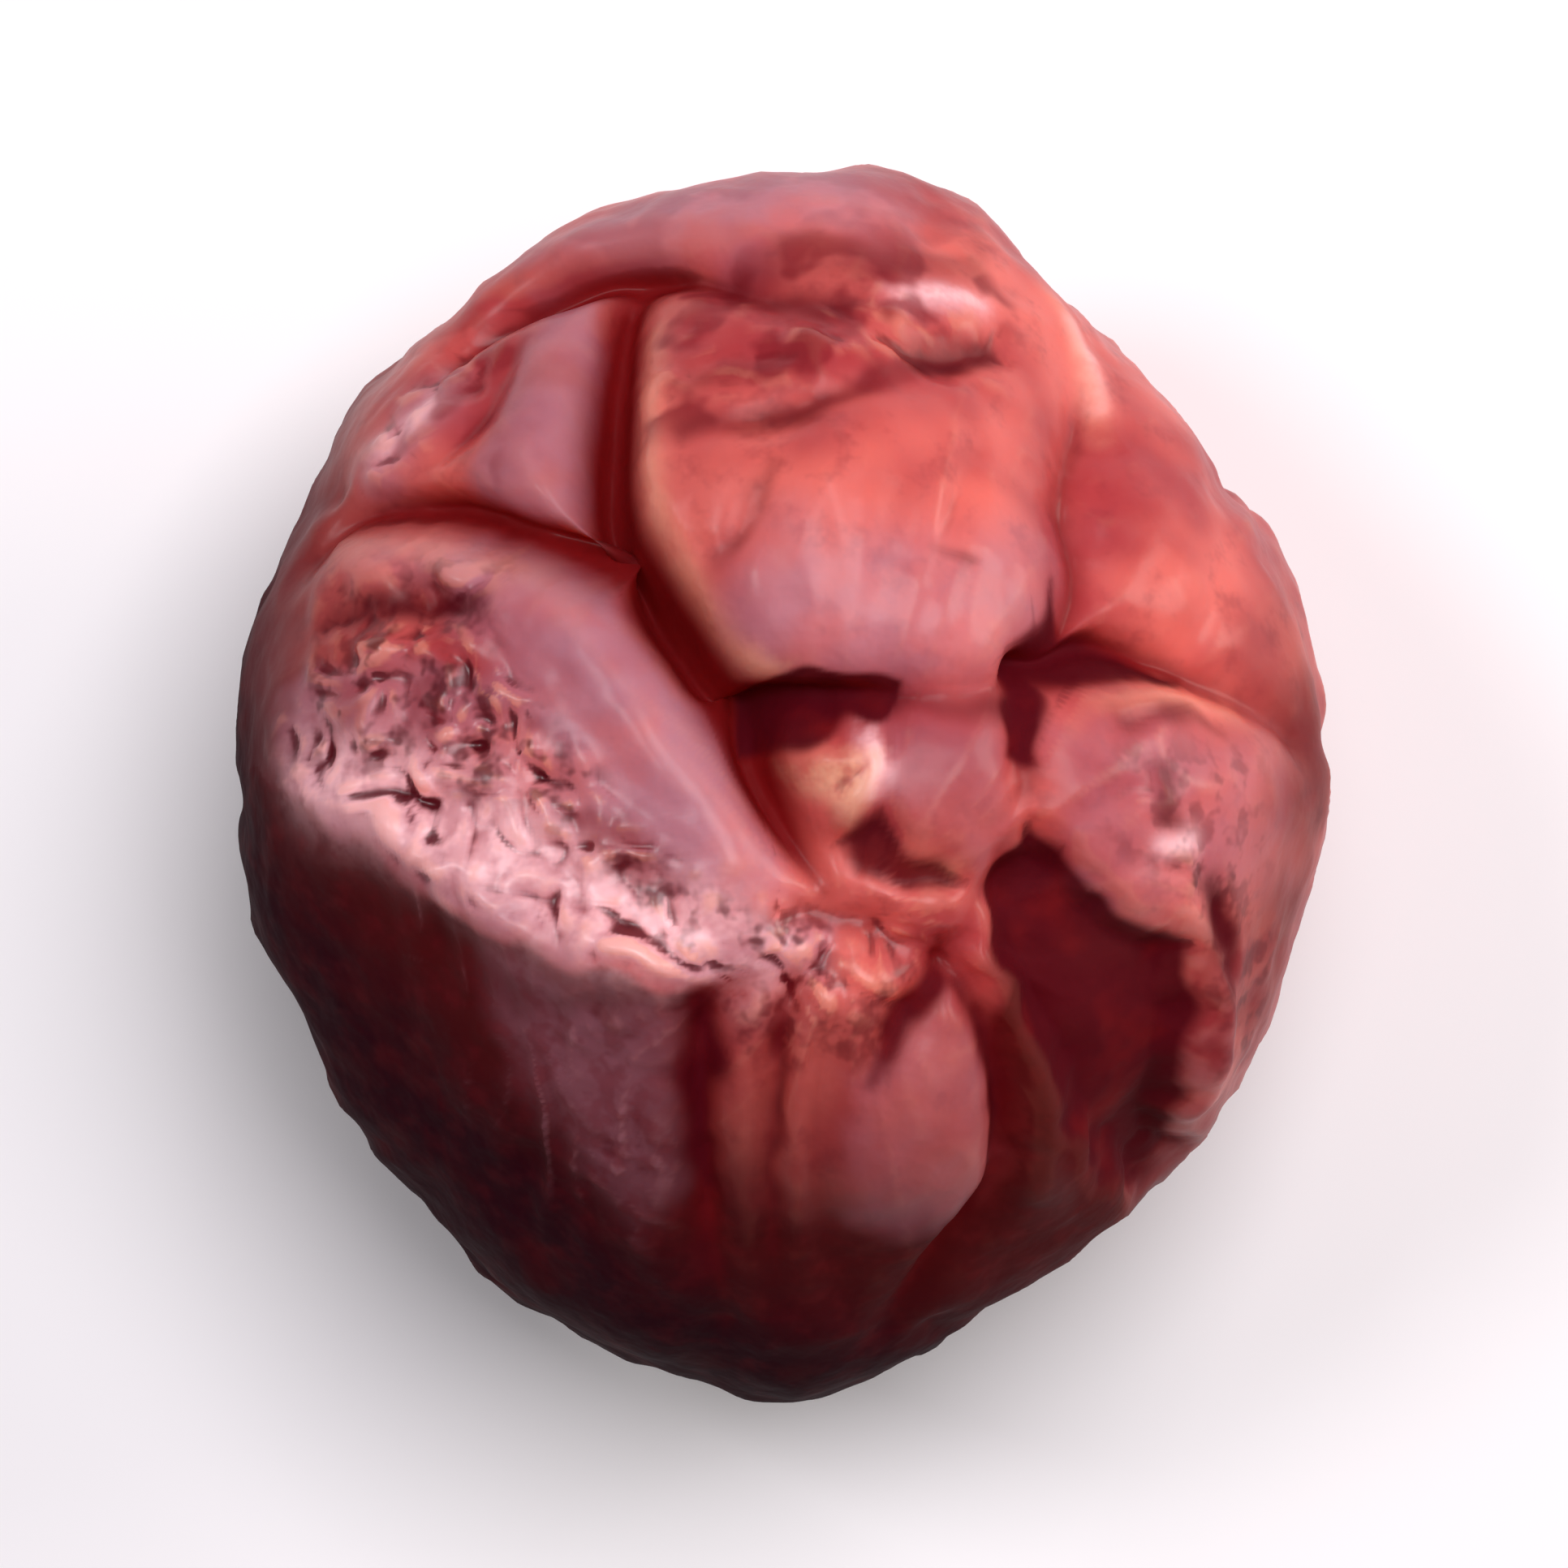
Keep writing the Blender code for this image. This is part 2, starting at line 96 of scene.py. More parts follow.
# %% The body's sizes
HEIGHT = 8.4
RISE = 4.5
REST_CUT = 0.22
FULLNESS = 2.15
FACET_SHARPNESS = 22
OUTLINE = [
    (5.30, 0.30), (5.16, -0.83), (4.64, -2.62), (4.22, -3.44), (3.48, -4.02), (2.33, -4.88),
    (1.36, -5.61), (0.15, -6.00), (-0.91, -5.77), (-2.12, -5.28), (-3.09, -4.47), (-3.98, -3.50),
    (-4.63, -2.29), (-5.11, -1.08), (-5.19, 0.62), (-4.95, 1.59), (-4.46, 2.85), (-3.64, 4.06),
    (-2.52, 4.99), (-1.72, 5.56), (-0.58, 5.92), (0.47, 6.00), (1.36, 5.84), (2.33, 5.07),
    (4.19, 3.05), (4.84, 1.92),
]
FACETS = {
    "left pad": (166, 66, 0.34),
    "lower left flank": (220, 40, 0.42),
    "upper left panel": (125, 48, 0.22),
    "top lobe": (82, 40, 0.2),
    "right strip": (35, 42, 0.25),
    "lower lobe": (285, 42, 0.24),
    "low right flank": (330, 12, 0.06),
    "back flank": (95, -18, 0.26),
    "left underside": (190, -34, 0.4),
    "right underside": (12, -40, 0.34),
    "front underside": (268, -36, 0.34),
}
PATH_STEPS = 8
HEIGHT_GUESSES = 14
NEAR = 0.001
print("facets:", len(FACETS), " outline points:", len(OUTLINE))


# %% Directions and smooth paths
def unit(vectors):
    """The vectors at length one."""
    return vectors / np.linalg.norm(vectors, axis=-1, keepdims=True)


def direction(bearing, angle):
    """Unit vector at a bearing from +X and a height angle, both in degrees."""
    b, a = np.radians(bearing), np.radians(angle)
    return np.stack([np.cos(a) * np.cos(b), np.cos(a) * np.sin(b), np.sin(a)], axis=-1)


def smooth_path(points, closed=False):
    """A Catmull-Rom curve: a cubic over each span, leaning at both ends along the neighbours."""
    p = np.array(points, float)
    if closed:
        p = np.vstack([p[-1:], p, p[:2]])
    else:
        p = np.vstack([2 * p[:1] - p[1:2], p, 2 * p[-1:] - p[-2:-1]])
    t = np.linspace(0, 1, PATH_STEPS, endpoint=False)[:, None]
    spans = [
        b + 0.5 * t * (c - a + t * (2 * a - 5 * b + 4 * c - d + t * (3 * b - a - 3 * c + d)))
        for a, b, c, d in zip(p, p[1:], p[2:], p[3:])
    ]
    return np.vstack(spans + [p[-2:-1]])


OUTLINE_CURVE = smooth_path(OUTLINE, closed=True)
print("outline, mm:", np.ptp(OUTLINE_CURVE, axis=0).round(2), "by", len(OUTLINE_CURVE), "places")


# %% The body's formulas
def outline_reach(bearing):
    """How far the outline lies from the middle at each bearing, in radians."""
    x, y = OUTLINE_CURVE.T
    return np.interp(bearing, np.arctan2(y, x), np.hypot(x, y), period=2 * np.pi)


def round_radius(u):
    """The superellipse: (across ** p + up ** p) ** (-1 / p), each over its own reach."""
    across = np.hypot(u[:, 0], u[:, 1]) / outline_reach(np.arctan2(u[:, 1], u[:, 0]))
    up = np.abs(u[:, 2]) / np.where(u[:, 2] > 0, RISE, HEIGHT + REST_CUT - RISE)
    return (across**FULLNESS + up**FULLNESS) ** (-1 / FULLNESS)


def facet_planes():
    """Each facet's normal over its distance: the plane that touches the round body, moved in."""
    bearings, angles = np.meshgrid(np.arange(0, 360, 2), np.arange(-90, 91, 2))
    u = direction(bearings.ravel(), angles.ravel())
    body = u * round_radius(u)[:, None]
    normals = [direction(bearing, angle) for bearing, angle, _ in FACETS.values()]
    cuts = [cut for _, _, cut in FACETS.values()]
    reach = (body @ np.transpose(normals)).max(0) - cuts
    return np.array(normals) / reach[:, None]


FACET_PLANES = facet_planes()


def body_radius(u):
    """Smooth minimum of the round body and the planes: the sum of each reach ** -k, to -1 / k."""
    crowd = (np.maximum(u @ FACET_PLANES.T, 0) ** FACET_SHARPNESS).sum(1)
    crowd += round_radius(u) ** -FACET_SHARPNESS
    return crowd ** (-1 / FACET_SHARPNESS)


def on_body(u):
    """Points of the body in these directions."""
    return u * body_radius(u)[:, None]


def over(plan):
    """Directions of the upper side's points over x, y: the height is guessed, then corrected."""
    plan = np.array(plan, float)
    height = np.full(len(plan), RISE / 2)
    for _ in range(HEIGHT_GUESSES):
        u = unit(np.column_stack([plan, height]))
        height = (height + body_radius(u) * u[:, 2]) / 2
    return unit(np.column_stack([plan, height]))


def outward(u):
    """Outward normals of the body, across the small triangle of three near directions."""
    side = unit(np.cross(u, u[:, [1, 2, 0]] + [0, 0, 1]))
    ahead = np.cross(u, side)
    here = on_body(u)
    to_side = on_body(unit(u + NEAR * side)) - here
    to_ahead = on_body(unit(u + NEAR * ahead)) - here
    return unit(np.cross(to_side, to_ahead))


print("from the middle to the top and to the right, mm:", body_radius(np.eye(3)[[2, 0]]).round(2))

# %% [markdown]
# ## The folds
# When a berry dries, the flesh shrinks more than the skin, and the skin goes in along a few lines.
# Each line is a path on the body, given by where it lies in plan on the upper side, or by bearing
# and height angle on the sides and the underside, with its depth at each point. The depth falls off
# as e to the minus distance over a width: that curve is sharp at the fold and domed beside it, which
# is just how two lobes meet.
#
# A fold rarely goes straight down. Its floor lies under the lobe that leans over it, so all but the
# pucker have a lean. The skin is moved sideways by a share of its depth, and by less where it is
# shallow. Each level slides as a whole, which is a shear, and a shear never makes a surface cross
# itself however far it overhangs.

# %% Folds on top
# Width in mm, lean as a share of the depth, and x, y and depth in mm. A positive lean puts the floor
# to the right of someone who walks along the path.
TOP_FOLDS = {
    "long fold": (0.42, 0.4, [
        (-1.5, 4.67, 0.6), (-1.6, 3.62, 0.78), (-1.58, 2.56, 0.92), (-1.3, 1.92, 1.0), (-0.84, 1.27, 0.95),
        (-0.36, 0.46, 0.85), (0.08, -0.3, 0.65), (0.48, -1.05, 0.3),
    ]),
    "fold under the top lobe": (0.4, -0.7, [
        (-3.4, 4.05, 0.15), (-3.01, 4.51, 0.4), (-2.2, 4.83, 0.55), (-1.39, 4.91, 0.6),
        (-0.83, 4.79, 0.42), (0.1, 4.45, 0.15),
    ]),
    "fold over the left pad": (0.38, -0.55, [
        (-4.6, 2.2, 0.25), (-4.22, 2.56, 0.45), (-3.33, 2.56, 0.62), (-2.52, 2.24, 0.62),
        (-1.72, 1.92, 0.8),
    ]),
    "fold across the middle": (0.4, -0.6, [
        (-0.5, 0.6, 0.8), (0.2, 0.56, 0.66), (0.85, 0.64, 0.46), (1.45, 0.7, 0.26), (2.1, 0.76, 0.32),
        (2.44, 0.98, 0.42),
    ]),
    "fold to the right edge": (0.42, -0.4, [
        (2.45, 0.98, 0.52), (3.14, 1.27, 0.56), (3.87, 1.03, 0.42), (4.6, 0.66, 0.25), (5.0, 0.38, 0.2),
    ]),
    "fold into the hollow": (0.36, 0.3, [
        (2.44, 0.98, 0.42), (2.3, 0.4, 0.32), (2.2, -0.3, 0.2), (2.02, -0.95, 0.26), (1.62, -1.62, 0.26),
        (0.9, -1.55, 0.26),
    ]),
    "fold up the right strip": (0.55, 0.4, [
        (2.6, 1.2, 0.46), (2.82, 1.92, 0.4), (2.72, 2.73, 0.36), (2.9, 3.54, 0.28), (2.95, 4.2, 0.14),
    ]),
    "first groove down": (0.42, 0.25, [
        (-0.1, -1.8, 0.25), (-0.66, -2.15, 0.4), (-0.74, -3.2, 0.38), (-0.66, -4.3, 0.3),
        (-0.5, -5.25, 0.15),
    ]),
    "second groove down": (0.28, -0.3, [
        (0.4, -1.6, 0.25), (-0.02, -2.2, 0.34), (-0.12, -3.2, 0.32), (-0.1, -4.2, 0.24), (0.0, -5.05, 0.1),
    ]),
    "third groove down": (0.3, 0.2, [
        (0.6, -2.05, 0.06), (0.4, -2.6, 0.2), (0.34, -3.5, 0.22), (0.46, -4.4, 0.16), (0.6, -5.1, 0.06),
    ]),
    "groove beside the lower lobe": (0.3, 0.4, [
        (1.53, -1.72, 0.34), (1.84, -2.0, 0.34), (2.08, -2.6, 0.36), (2.16, -3.3, 0.38),
        (2.06, -3.9, 0.36), (1.68, -4.42, 0.32), (1.35, -4.95, 0.26), (1.1, -5.4, 0.16),
    ]),
    "notch in the lower lobe": (0.24, 0.2, [(0.82, -2.8, 0.1), (1.12, -2.26, 0.28), (1.53, -1.72, 0.34)]),
    "fold beside the flap": (0.26, 0.2, [
        (0.05, 0.22, 0.1), (0.28, -0.2, 0.16), (0.52, -0.62, 0.16), (0.7, -1.0, 0.1),
    ]),
    "pucker": (0.46, 0.0, [(0.2, -1.22, 0.34), (0.5, -1.32, 0.36), (0.85, -1.42, 0.34)]),
    "crease in the left panel": (0.4, 0.3, [
        (-2.55, 4.2, 0.12), (-2.85, 3.6, 0.26), (-3.3, 3.05, 0.2), (-3.8, 2.95, 0.08),
    ]),
    "crease in the upper lobe": (0.4, -0.4, [
        (-0.95, 3.18, 0.1), (-0.3, 3.28, 0.24), (0.55, 3.5, 0.22), (1.3, 3.74, 0.16), (2.05, 4.02, 0.08),
    ]),
    "short crease in the upper lobe": (0.28, 0.3, [
        (-0.62, 1.86, 0.05), (-0.34, 2.3, 0.15), (-0.08, 2.84, 0.06),
    ]),
    "crease in the top lobe": (0.26, 0.2, [(1.44, 5.8, 0.05), (1.42, 5.3, 0.13), (1.46, 4.8, 0.06)]),
}
print("folds on top:", len(TOP_FOLDS))

# %% Folds on the sides and the underside
# Width, lean, and bearing and height angle in degrees, with the depth in mm
SIDE_FOLDS = {
    "left panel fold, over the edge": (0.44, 0.4, [
        (148, 14, 0.2), (152, -2, 0.08), (158, -20, 0.36), (150, -38, 0.3), (128, -50, 0.12),
    ]),
    "top fold, over the edge": (0.44, -0.45, [
        (127, 22, 0.24), (124, 4, 0.08), (118, -12, 0.36), (108, -24, 0.4), (100, -30, 0.3),
    ]),
    "right strip fold, over the edge": (0.46, 0.5, [
        (57, 26, 0.1), (60, 8, 0.05), (66, -10, 0.32), (80, -22, 0.4), (90, -28, 0.3),
    ]),
    "right fold, over the edge": (0.46, -0.5, [
        (4, 6, 0.1), (2, -12, 0.28), (16, -32, 0.44), (44, -44, 0.36), (74, -42, 0.26),
    ]),
    "low right fold": (0.42, 0.45, [
        (316, 22, 0.1), (320, 4, 0.05), (332, -18, 0.42), (348, -36, 0.36), (8, -52, 0.14),
    ]),
    "front fold, over the edge": (0.46, -0.4, [
        (264, 20, 0.22), (263, 2, 0.08), (252, -18, 0.4), (240, -34, 0.36), (222, -50, 0.14),
    ]),
    "front right fold": (0.42, 0.4, [(286, 12, 0.16), (288, -4, 0.06), (300, -22, 0.4), (310, -44, 0.2)]),
    "left flank fold": (0.46, 0.5, [
        (214, 26, 0.06), (206, 6, 0.06), (204, -12, 0.34), (214, -32, 0.4), (206, -50, 0.16),
    ]),
    "left side crease": (0.38, -0.4, [
        (184, 10, 0.02), (178, -6, 0.14), (168, -20, 0.36), (152, -26, 0.28),
    ]),
    "underside cross fold": (0.42, 0.45, [
        (212, -34, 0.3), (192, -42, 0.42), (168, -40, 0.42), (140, -40, 0.34), (112, -36, 0.3),
    ]),
    "right side crease": (0.4, 0.4, [
        (34, 14, 0.06), (36, -4, 0.18), (46, -18, 0.34), (64, -26, 0.3), (84, -32, 0.24),
    ]),
    "branch at the back": (0.36, 0.4, [(122, -8, 0.24), (108, -4, 0.26), (92, -2, 0.22), (78, -6, 0.08)]),
    "branch at the front": (0.36, -0.4, [(254, -16, 0.3), (272, -12, 0.26), (290, -18, 0.3)]),
    "branch at the right": (0.36, 0.35, [(2, -10, 0.28), (342, -8, 0.24), (326, -12, 0.26)]),
    "branch at the left": (0.34, 0.35, [
        (205, -10, 0.22), (222, -6, 0.24), (238, -10, 0.18), (250, -16, 0.26),
    ]),
}
print("folds on the sides:", len(SIDE_FOLDS))


# %% How a fold shapes the skin
FOLD_BLEND = 3.0
FOLD_REACH = 2.6
SOFT_FLOOR, SHARP_FLOOR = 0.24, 0.05
STEEP_SHARE, STEEP_WIDTH, BROAD_WIDTH = 0.84, 0.50, 2.00
SLIT_SHARE, SLIT_WIDTH = 0.22, 0.14
OPENING = 0.10


def bearings_to_directions(rows):
    """Directions from rows of bearing and height angle."""
    return direction(rows[:, 0], rows[:, 1])


def lay_paths(table, aim):
    """Each row of a table as its width, its lean and a smooth path on the body with depths."""
    laid = []
    for width, lean, rows in table.values():
        rows = np.array(rows)
        path = smooth_path(np.column_stack([on_body(aim(rows[:, :2])), rows[:, 2]]))
        laid.append((width, lean, path))
    return laid


def meet(points, path):
    """The points near a path: their rows, nearest places, gaps, depths, lengths and headings.

    A point's share of each straight step is its projection on that step, kept between 0 and 1.
    """
    middle = path[:, :3].mean(0)
    radius = np.linalg.norm(path[:, :3] - middle, axis=1).max() + FOLD_REACH
    rows = np.flatnonzero(((points - middle) ** 2).sum(1) < radius**2)
    start, step = path[:-1, :3], np.diff(path[:, :3], axis=0)
    offset = points[rows][:, None] - start
    share = np.clip((offset * step).sum(2) / (step**2).sum(1), 0, 1)
    gaps = np.linalg.norm(offset - share[..., None] * step, axis=2)
    best, pick = gaps.argmin(1), np.arange(len(rows))
    share, gap = share[pick, best], gaps[pick, best]
    place = start[best] + share[:, None] * step[best]
    depth = path[best, 3] * (1 - share) + path[best + 1, 3] * share
    long = np.linalg.norm(step, axis=1)
    length = (np.cumsum(long) - long)[best] + share * long[best]
    return rows, place, gap, depth, length, unit(step[best])


def fold_shape(gap, width, depth):
    """How deep a fold is beside its path: a steep part, a broad part and a narrow slit.

    A shallow fold has a round floor. The deeper it is, the sharper and wider its floor.
    """
    sharp = np.clip(depth, 0, 1)
    floor = SOFT_FLOOR + (SHARP_FLOOR - SOFT_FLOOR) * sharp
    soft = np.hypot(np.maximum(gap - OPENING * sharp**2, 0), floor) - floor
    steep = STEEP_SHARE * np.exp(-soft / (STEEP_WIDTH * width))
    broad = (1 - STEEP_SHARE) * np.exp(-soft / (BROAD_WIDTH * width))
    slit = SLIT_SHARE * sharp * np.exp(-((gap / SLIT_WIDTH) ** 2))
    return depth * (steep + broad + slit)


FOLDS = lay_paths(TOP_FOLDS, over) + lay_paths(SIDE_FOLDS, bearings_to_directions)
print("folds:", len(FOLDS), " longest path points:", max(len(path) for _, _, path in FOLDS))

# %% [markdown]
# ## Edges and swells
# Beside the folds the skin rolls up: the left pad has a rim along the long fold and a sharper edge
# where it turns down the dark flank, and a small flap hangs over the pocket in the middle. The lobes
# themselves bulge. A sculpting brush leaves such forms, but they can't be found again to change one
# of them. Here each has a name, a place and a height: the edges are narrow bell curves across a
# path, and the swells are round bell curves about a point. All are added to the skin's height.

# %% Edges along paths
# Width, no lean, and x, y and height
EDGES = {
    "lower edge of the left pad": (0.42, 0, [
        (-4.63, 0.1, 0.06), (-3.33, -0.67, 0.2), (-2.28, -1.32, 0.26), (-1.23, -1.8, 0.24),
        (-0.3, -1.95, 0.1),
    ]),
    "rim of the left pad": (0.3, 0, [
        (-3.9, 1.95, 0.05), (-2.7, 1.75, 0.1), (-1.8, 1.3, 0.12), (-1.25, 0.5, 0.12), (-0.7, -0.35, 0.1),
        (-0.15, -1.05, 0.04),
    ]),
    "lip of the upper lobe": (0.22, 0, [
        (-1.28, 4.2, 0.03), (-1.25, 3.3, 0.07), (-1.15, 2.4, 0.1), (-0.8, 1.75, 0.1), (-0.42, 1.1, 0.04),
    ]),
    "edge of the right flank": (0.22, 0, [
        (3.4, -0.92, 0.05), (3.86, -1.5, 0.14), (4.02, -2.4, 0.18), (4.0, -3.2, 0.08),
    ]),
    "edge of the right strip": (0.2, 0, [(2.75, 4.75, 0.04), (3.0, 4.0, 0.1), (3.1, 3.3, 0.04)]),
    "edge of the top lobe": (0.34, 0, [(-2.7, 5.0, 0.06), (-1.7, 5.25, 0.12), (-0.5, 5.2, 0.06)]),
    "flap over the pocket": (0.16, 0, [
        (0.15, 0.22, 0.05), (0.5, 0.16, 0.1), (0.85, 0.14, 0.08), (0.66, -0.34, 0.08),
    ]),
    "ridge beside the lower lobe": (0.16, 0, [
        (1.95, -1.8, 0.04), (2.32, -2.5, 0.1), (2.44, -3.2, 0.1), (2.4, -3.9, 0.04),
    ]),
    "ridge over the right lobe": (0.12, 0, [(2.95, 0.66, 0.03), (3.5, 0.74, 0.08), (4.3, 0.62, 0.03)]),
}


def along(points, table):
    """The values of a table's paths, each spread as a bell curve of the gap to its path."""
    total = np.zeros(len(points))
    for width, _, path in lay_paths(table, over):
        rows, _, gap, value, _, _ = meet(points, path)
        total[rows] += value * np.exp(-((gap / width) ** 2))
    return total


print("edges:", len(EDGES))

# %% Swells about points
# x, y, radius and height, in mm, with a negative height where the skin sinks
SWELLS = {
    "left pad": (-2.40, 0.70, 1.5, 0.08),
    "upper lobe": (0.70, 2.20, 1.6, 0.12),
    "central lobe": (1.60, 0.05, 0.7, 0.06),
    "right lobe": (3.60, -0.20, 1.1, 0.14),
    "lower lobe": (1.20, -3.40, 1.1, 0.12),
    "top lobe": (0.20, 5.20, 1.2, 0.08),
    "dent in the left panel": (-3.00, 3.55, 0.80, -0.14),
    "left dent in the upper lobe": (-0.45, 3.90, 0.45, -0.08),
    "high dent in the upper lobe": (0.45, 4.45, 0.42, -0.07),
    "knob on the upper lobe": (0.95, 3.55, 0.50, 0.05),
}


def bell(points, centre, radius):
    """One at the centre, falling off as e to the minus squared distance over squared radius."""
    return np.exp(-((points - centre) ** 2).sum(1) / radius**2)


def swell_height(points):
    """The sum of the round swells and hollows."""
    bells = [(h, bell(points, on_body(over([(x, y)])), r)) for x, y, r, h in SWELLS.values()]
    return sum(height * rise for height, rise in bells)


print("swells:", len(SWELLS), " highest, mm:", max(height for *_, height in SWELLS.values()))

# %% [markdown]
# ## Sunken areas
# In a few places the skin sank between its edges: the broad hollow at the lower right, the pocket
# under the flap and two shallow dimples. A bell curve would make them round bowls, while each has an
# outline of its own. So each is a ring of corners seen from above. How deep a point lies follows
# from how far inside the ring it is, and patches of colour are made from rings in the same way.

# %% Areas inside rings
AREA_FADE = 1.2
# Edge softness and rise in mm, and the ring's corners as x and y
AREAS = {
    "hollow": (0.4, -0.38, [
        (2.3, -0.5), (2.62, -0.62), (2.9, -1.12), (3.3, -1.28), (3.74, -1.55), (3.88, -2.4), (3.78, -3.2),
        (3.88, -3.6), (3.45, -4.05), (3.06, -3.7), (2.72, -3.1), (2.42, -2.4), (2.12, -1.65), (2.0, -1.1),
    ]),
    "pocket": (0.36, -0.18, [
        (0.56, -0.58), (0.93, -0.32), (1.52, -0.7), (1.64, -0.92), (1.26, -1.05), (0.8, -0.92),
    ]),
    "dimple": (0.5, -0.12, [
        (-4.2, 1.35), (-3.4, 1.4), (-2.85, 1.5), (-2.9, 1.82), (-3.4, 1.92), (-4.1, 1.85),
    ]),
    "pit": (0.44, -0.1, [(0.95, 4.2), (1.05, 3.84), (1.6, 3.78), (2.12, 3.9), (2.1, 4.22), (1.5, 4.3)]),
}


def inside(points, softness, corners):
    """One in a ring of corners seen from above and zero beyond it, with an S curve between.

    A point is inside where a line from it to the right crosses the ring an odd number of times.
    The underside has none, and the upper side has all of it from AREA_FADE over the widest level.
    """
    rows = np.flatnonzero(points[:, 2] > 0)
    start = np.array(corners)
    step, offset = np.roll(start, -1, axis=0) - start, points[rows, None, :2] - start
    share = np.clip((offset * step).sum(2) / (step**2).sum(1), 0, 1)
    gap = np.linalg.norm(offset - share[..., None] * step, axis=2).min(1)
    spans = (offset[..., 1] < 0) != (offset[..., 1] < step[:, 1])
    run = step[:, 0] / np.where(step[:, 1] == 0, 1, step[:, 1])
    odd = (spans & (offset[..., 0] < offset[..., 1] * run)).sum(1) % 2 == 1
    share = np.clip(0.5 + np.where(odd, gap, -gap) / softness, 0, 1)
    weight = np.zeros(len(points))
    weight[rows] = share**2 * (3 - 2 * share) * np.clip(points[rows, 2] / AREA_FADE, 0, 1)
    return weight


def areas(points, table):
    """The values of a table's rings, each times how far inside its ring a point is."""
    return sum(value * inside(points, softness, ring) for softness, value, ring in table.values())


print("sunken areas, mm:", {name: rise for name, (_, rise, _) in AREAS.items()})

# %% [markdown]
# ## The stalk scar
# At the end where the stalk was, every berry has a small round scar: a pit with a pale, corky ring
# in it and a dark eye. It could be a separate torus, but on the berry it is the same skin, so it is
# three curves of the distance to its middle, one for each of pit, ring and eye.

# %% The stalk scar
SCAR_BEARING, SCAR_ANGLE = 96, -27
SCAR_PIT = (1.05, 0.50)
SCAR_RING = (0.48, 0.20, 0.36)
SCAR_EYE = (0.17, 0.30)
SCAR_CENTRE = on_body(direction(SCAR_BEARING, SCAR_ANGLE)[None])[0]


def scar_height(points):
    """A flat-floored pit, plus a ring as a bell curve about its radius, less the eye."""
    gap = np.linalg.norm(points - SCAR_CENTRE, axis=1)
    pit = -SCAR_PIT[1] * np.exp(-((gap / SCAR_PIT[0]) ** 4))
    ring = SCAR_RING[2] * np.exp(-(((gap - SCAR_RING[0]) / SCAR_RING[1]) ** 2))
    eye = -SCAR_EYE[1] * np.exp(-((gap / SCAR_EYE[0]) ** 2))
    return pit + ring + eye


print("scar at, mm:", SCAR_CENTRE.round(2))

# %% [markdown]
# ## Fine wrinkles
# Real skin is never plain between its folds. Gathers run across each fold, where the skin is drawn
# together as at a seam. Streaks run from the pucker on top down to the underside, as on a bag closed
# by a string, and fine rills run down the flanks. Panels and a net of small wrinkles cover the rest,
# and the pad's strip is crumpled like foil. A noise texture on a material could only shade them,
# while moving the mesh lets them catch light at the edge of the berry as well.
#
# All of them start from a grid of cells that fills space. Gradient noise gives each cell corner a
# seeded random direction and sums direction times offset over the corners of a point's cell, each
# weighted by 6 t^5 - 15 t^4 + 10 t^3 along the three axes. Pillows and shards give each cell one
# seeded point instead, and look at how far the near ones are.

# %% Gradient noise
NOISE_TABLE = 256
NOISE_GAIN = 1.6


def looked_up(order, corner):
    """A place in a noise table for each whole-number corner: three lookups in a shuffled order."""
    x, y, z = (corner % NOISE_TABLE).T
    return order[(order[(order[x] + y) % NOISE_TABLE] + z) % NOISE_TABLE]


def noise(points, seed):
    """Gradient noise of the points, from about -1 to 1, with cells of size one."""
    rng = np.random.default_rng(seed)
    ways = unit(rng.normal(size=(NOISE_TABLE, 3)))
    order = rng.permutation(NOISE_TABLE)
    cell = np.floor(points).astype(int)
    offset = points - cell
    fade = offset**3 * (offset * (offset * 6 - 15) + 10)
    total = np.zeros(len(points))
    for corner in np.ndindex(2, 2, 2):
        way = ways[looked_up(order, cell + corner)]
        weight = np.where(corner, fade, 1 - fade).prod(1)
        total += weight * ((offset - corner) * way).sum(1)
    return NOISE_GAIN * total


def ridges(points, seed):
    """Sharp crests: one less twice the noise without its sign, so it peaks where noise is zero."""
    return 1 - 2 * np.abs(noise(points, seed))


def warped(points, size, strength, seed):
    """Points pushed about by noise of a larger size, so that what is drawn on them meanders."""
    pushes = [noise(points / size, seed + k) for k in range(3)]
    return points + strength * np.stack(pushes, axis=1)


print("noise at three places:", noise(np.eye(3) / 2, 1).round(2))


# %% Pillows and shards
PILLOW_EDGE = 0.26
SHARD_EDGE = 6


def pillows(points, seed):
    """Rounded cells with sharp creases between them: near zero in a crease and one on a pillow.

    Each cell of size one holds one seeded point. The creases lie where the nearest and the next
    nearest of those points are equally far away, so the height is one less a bell curve of the
    difference of the two distances.
    """
    rng = np.random.default_rng(seed)
    spots, order = rng.random((NOISE_TABLE, 3)), rng.permutation(NOISE_TABLE)
    cell = np.floor(points).astype(int)
    near, after = np.full(len(points), np.inf), np.full(len(points), np.inf)
    for step in np.ndindex(3, 3, 3):
        corner = cell + step - 1
        spot = corner + spots[looked_up(order, corner)]
        gap = np.linalg.norm(points - spot, axis=1)
        after = np.minimum(after, np.maximum(near, gap))
        near = np.minimum(near, gap)
    return 1 - np.exp(-(((after - near) / PILLOW_EDGE) ** 2))


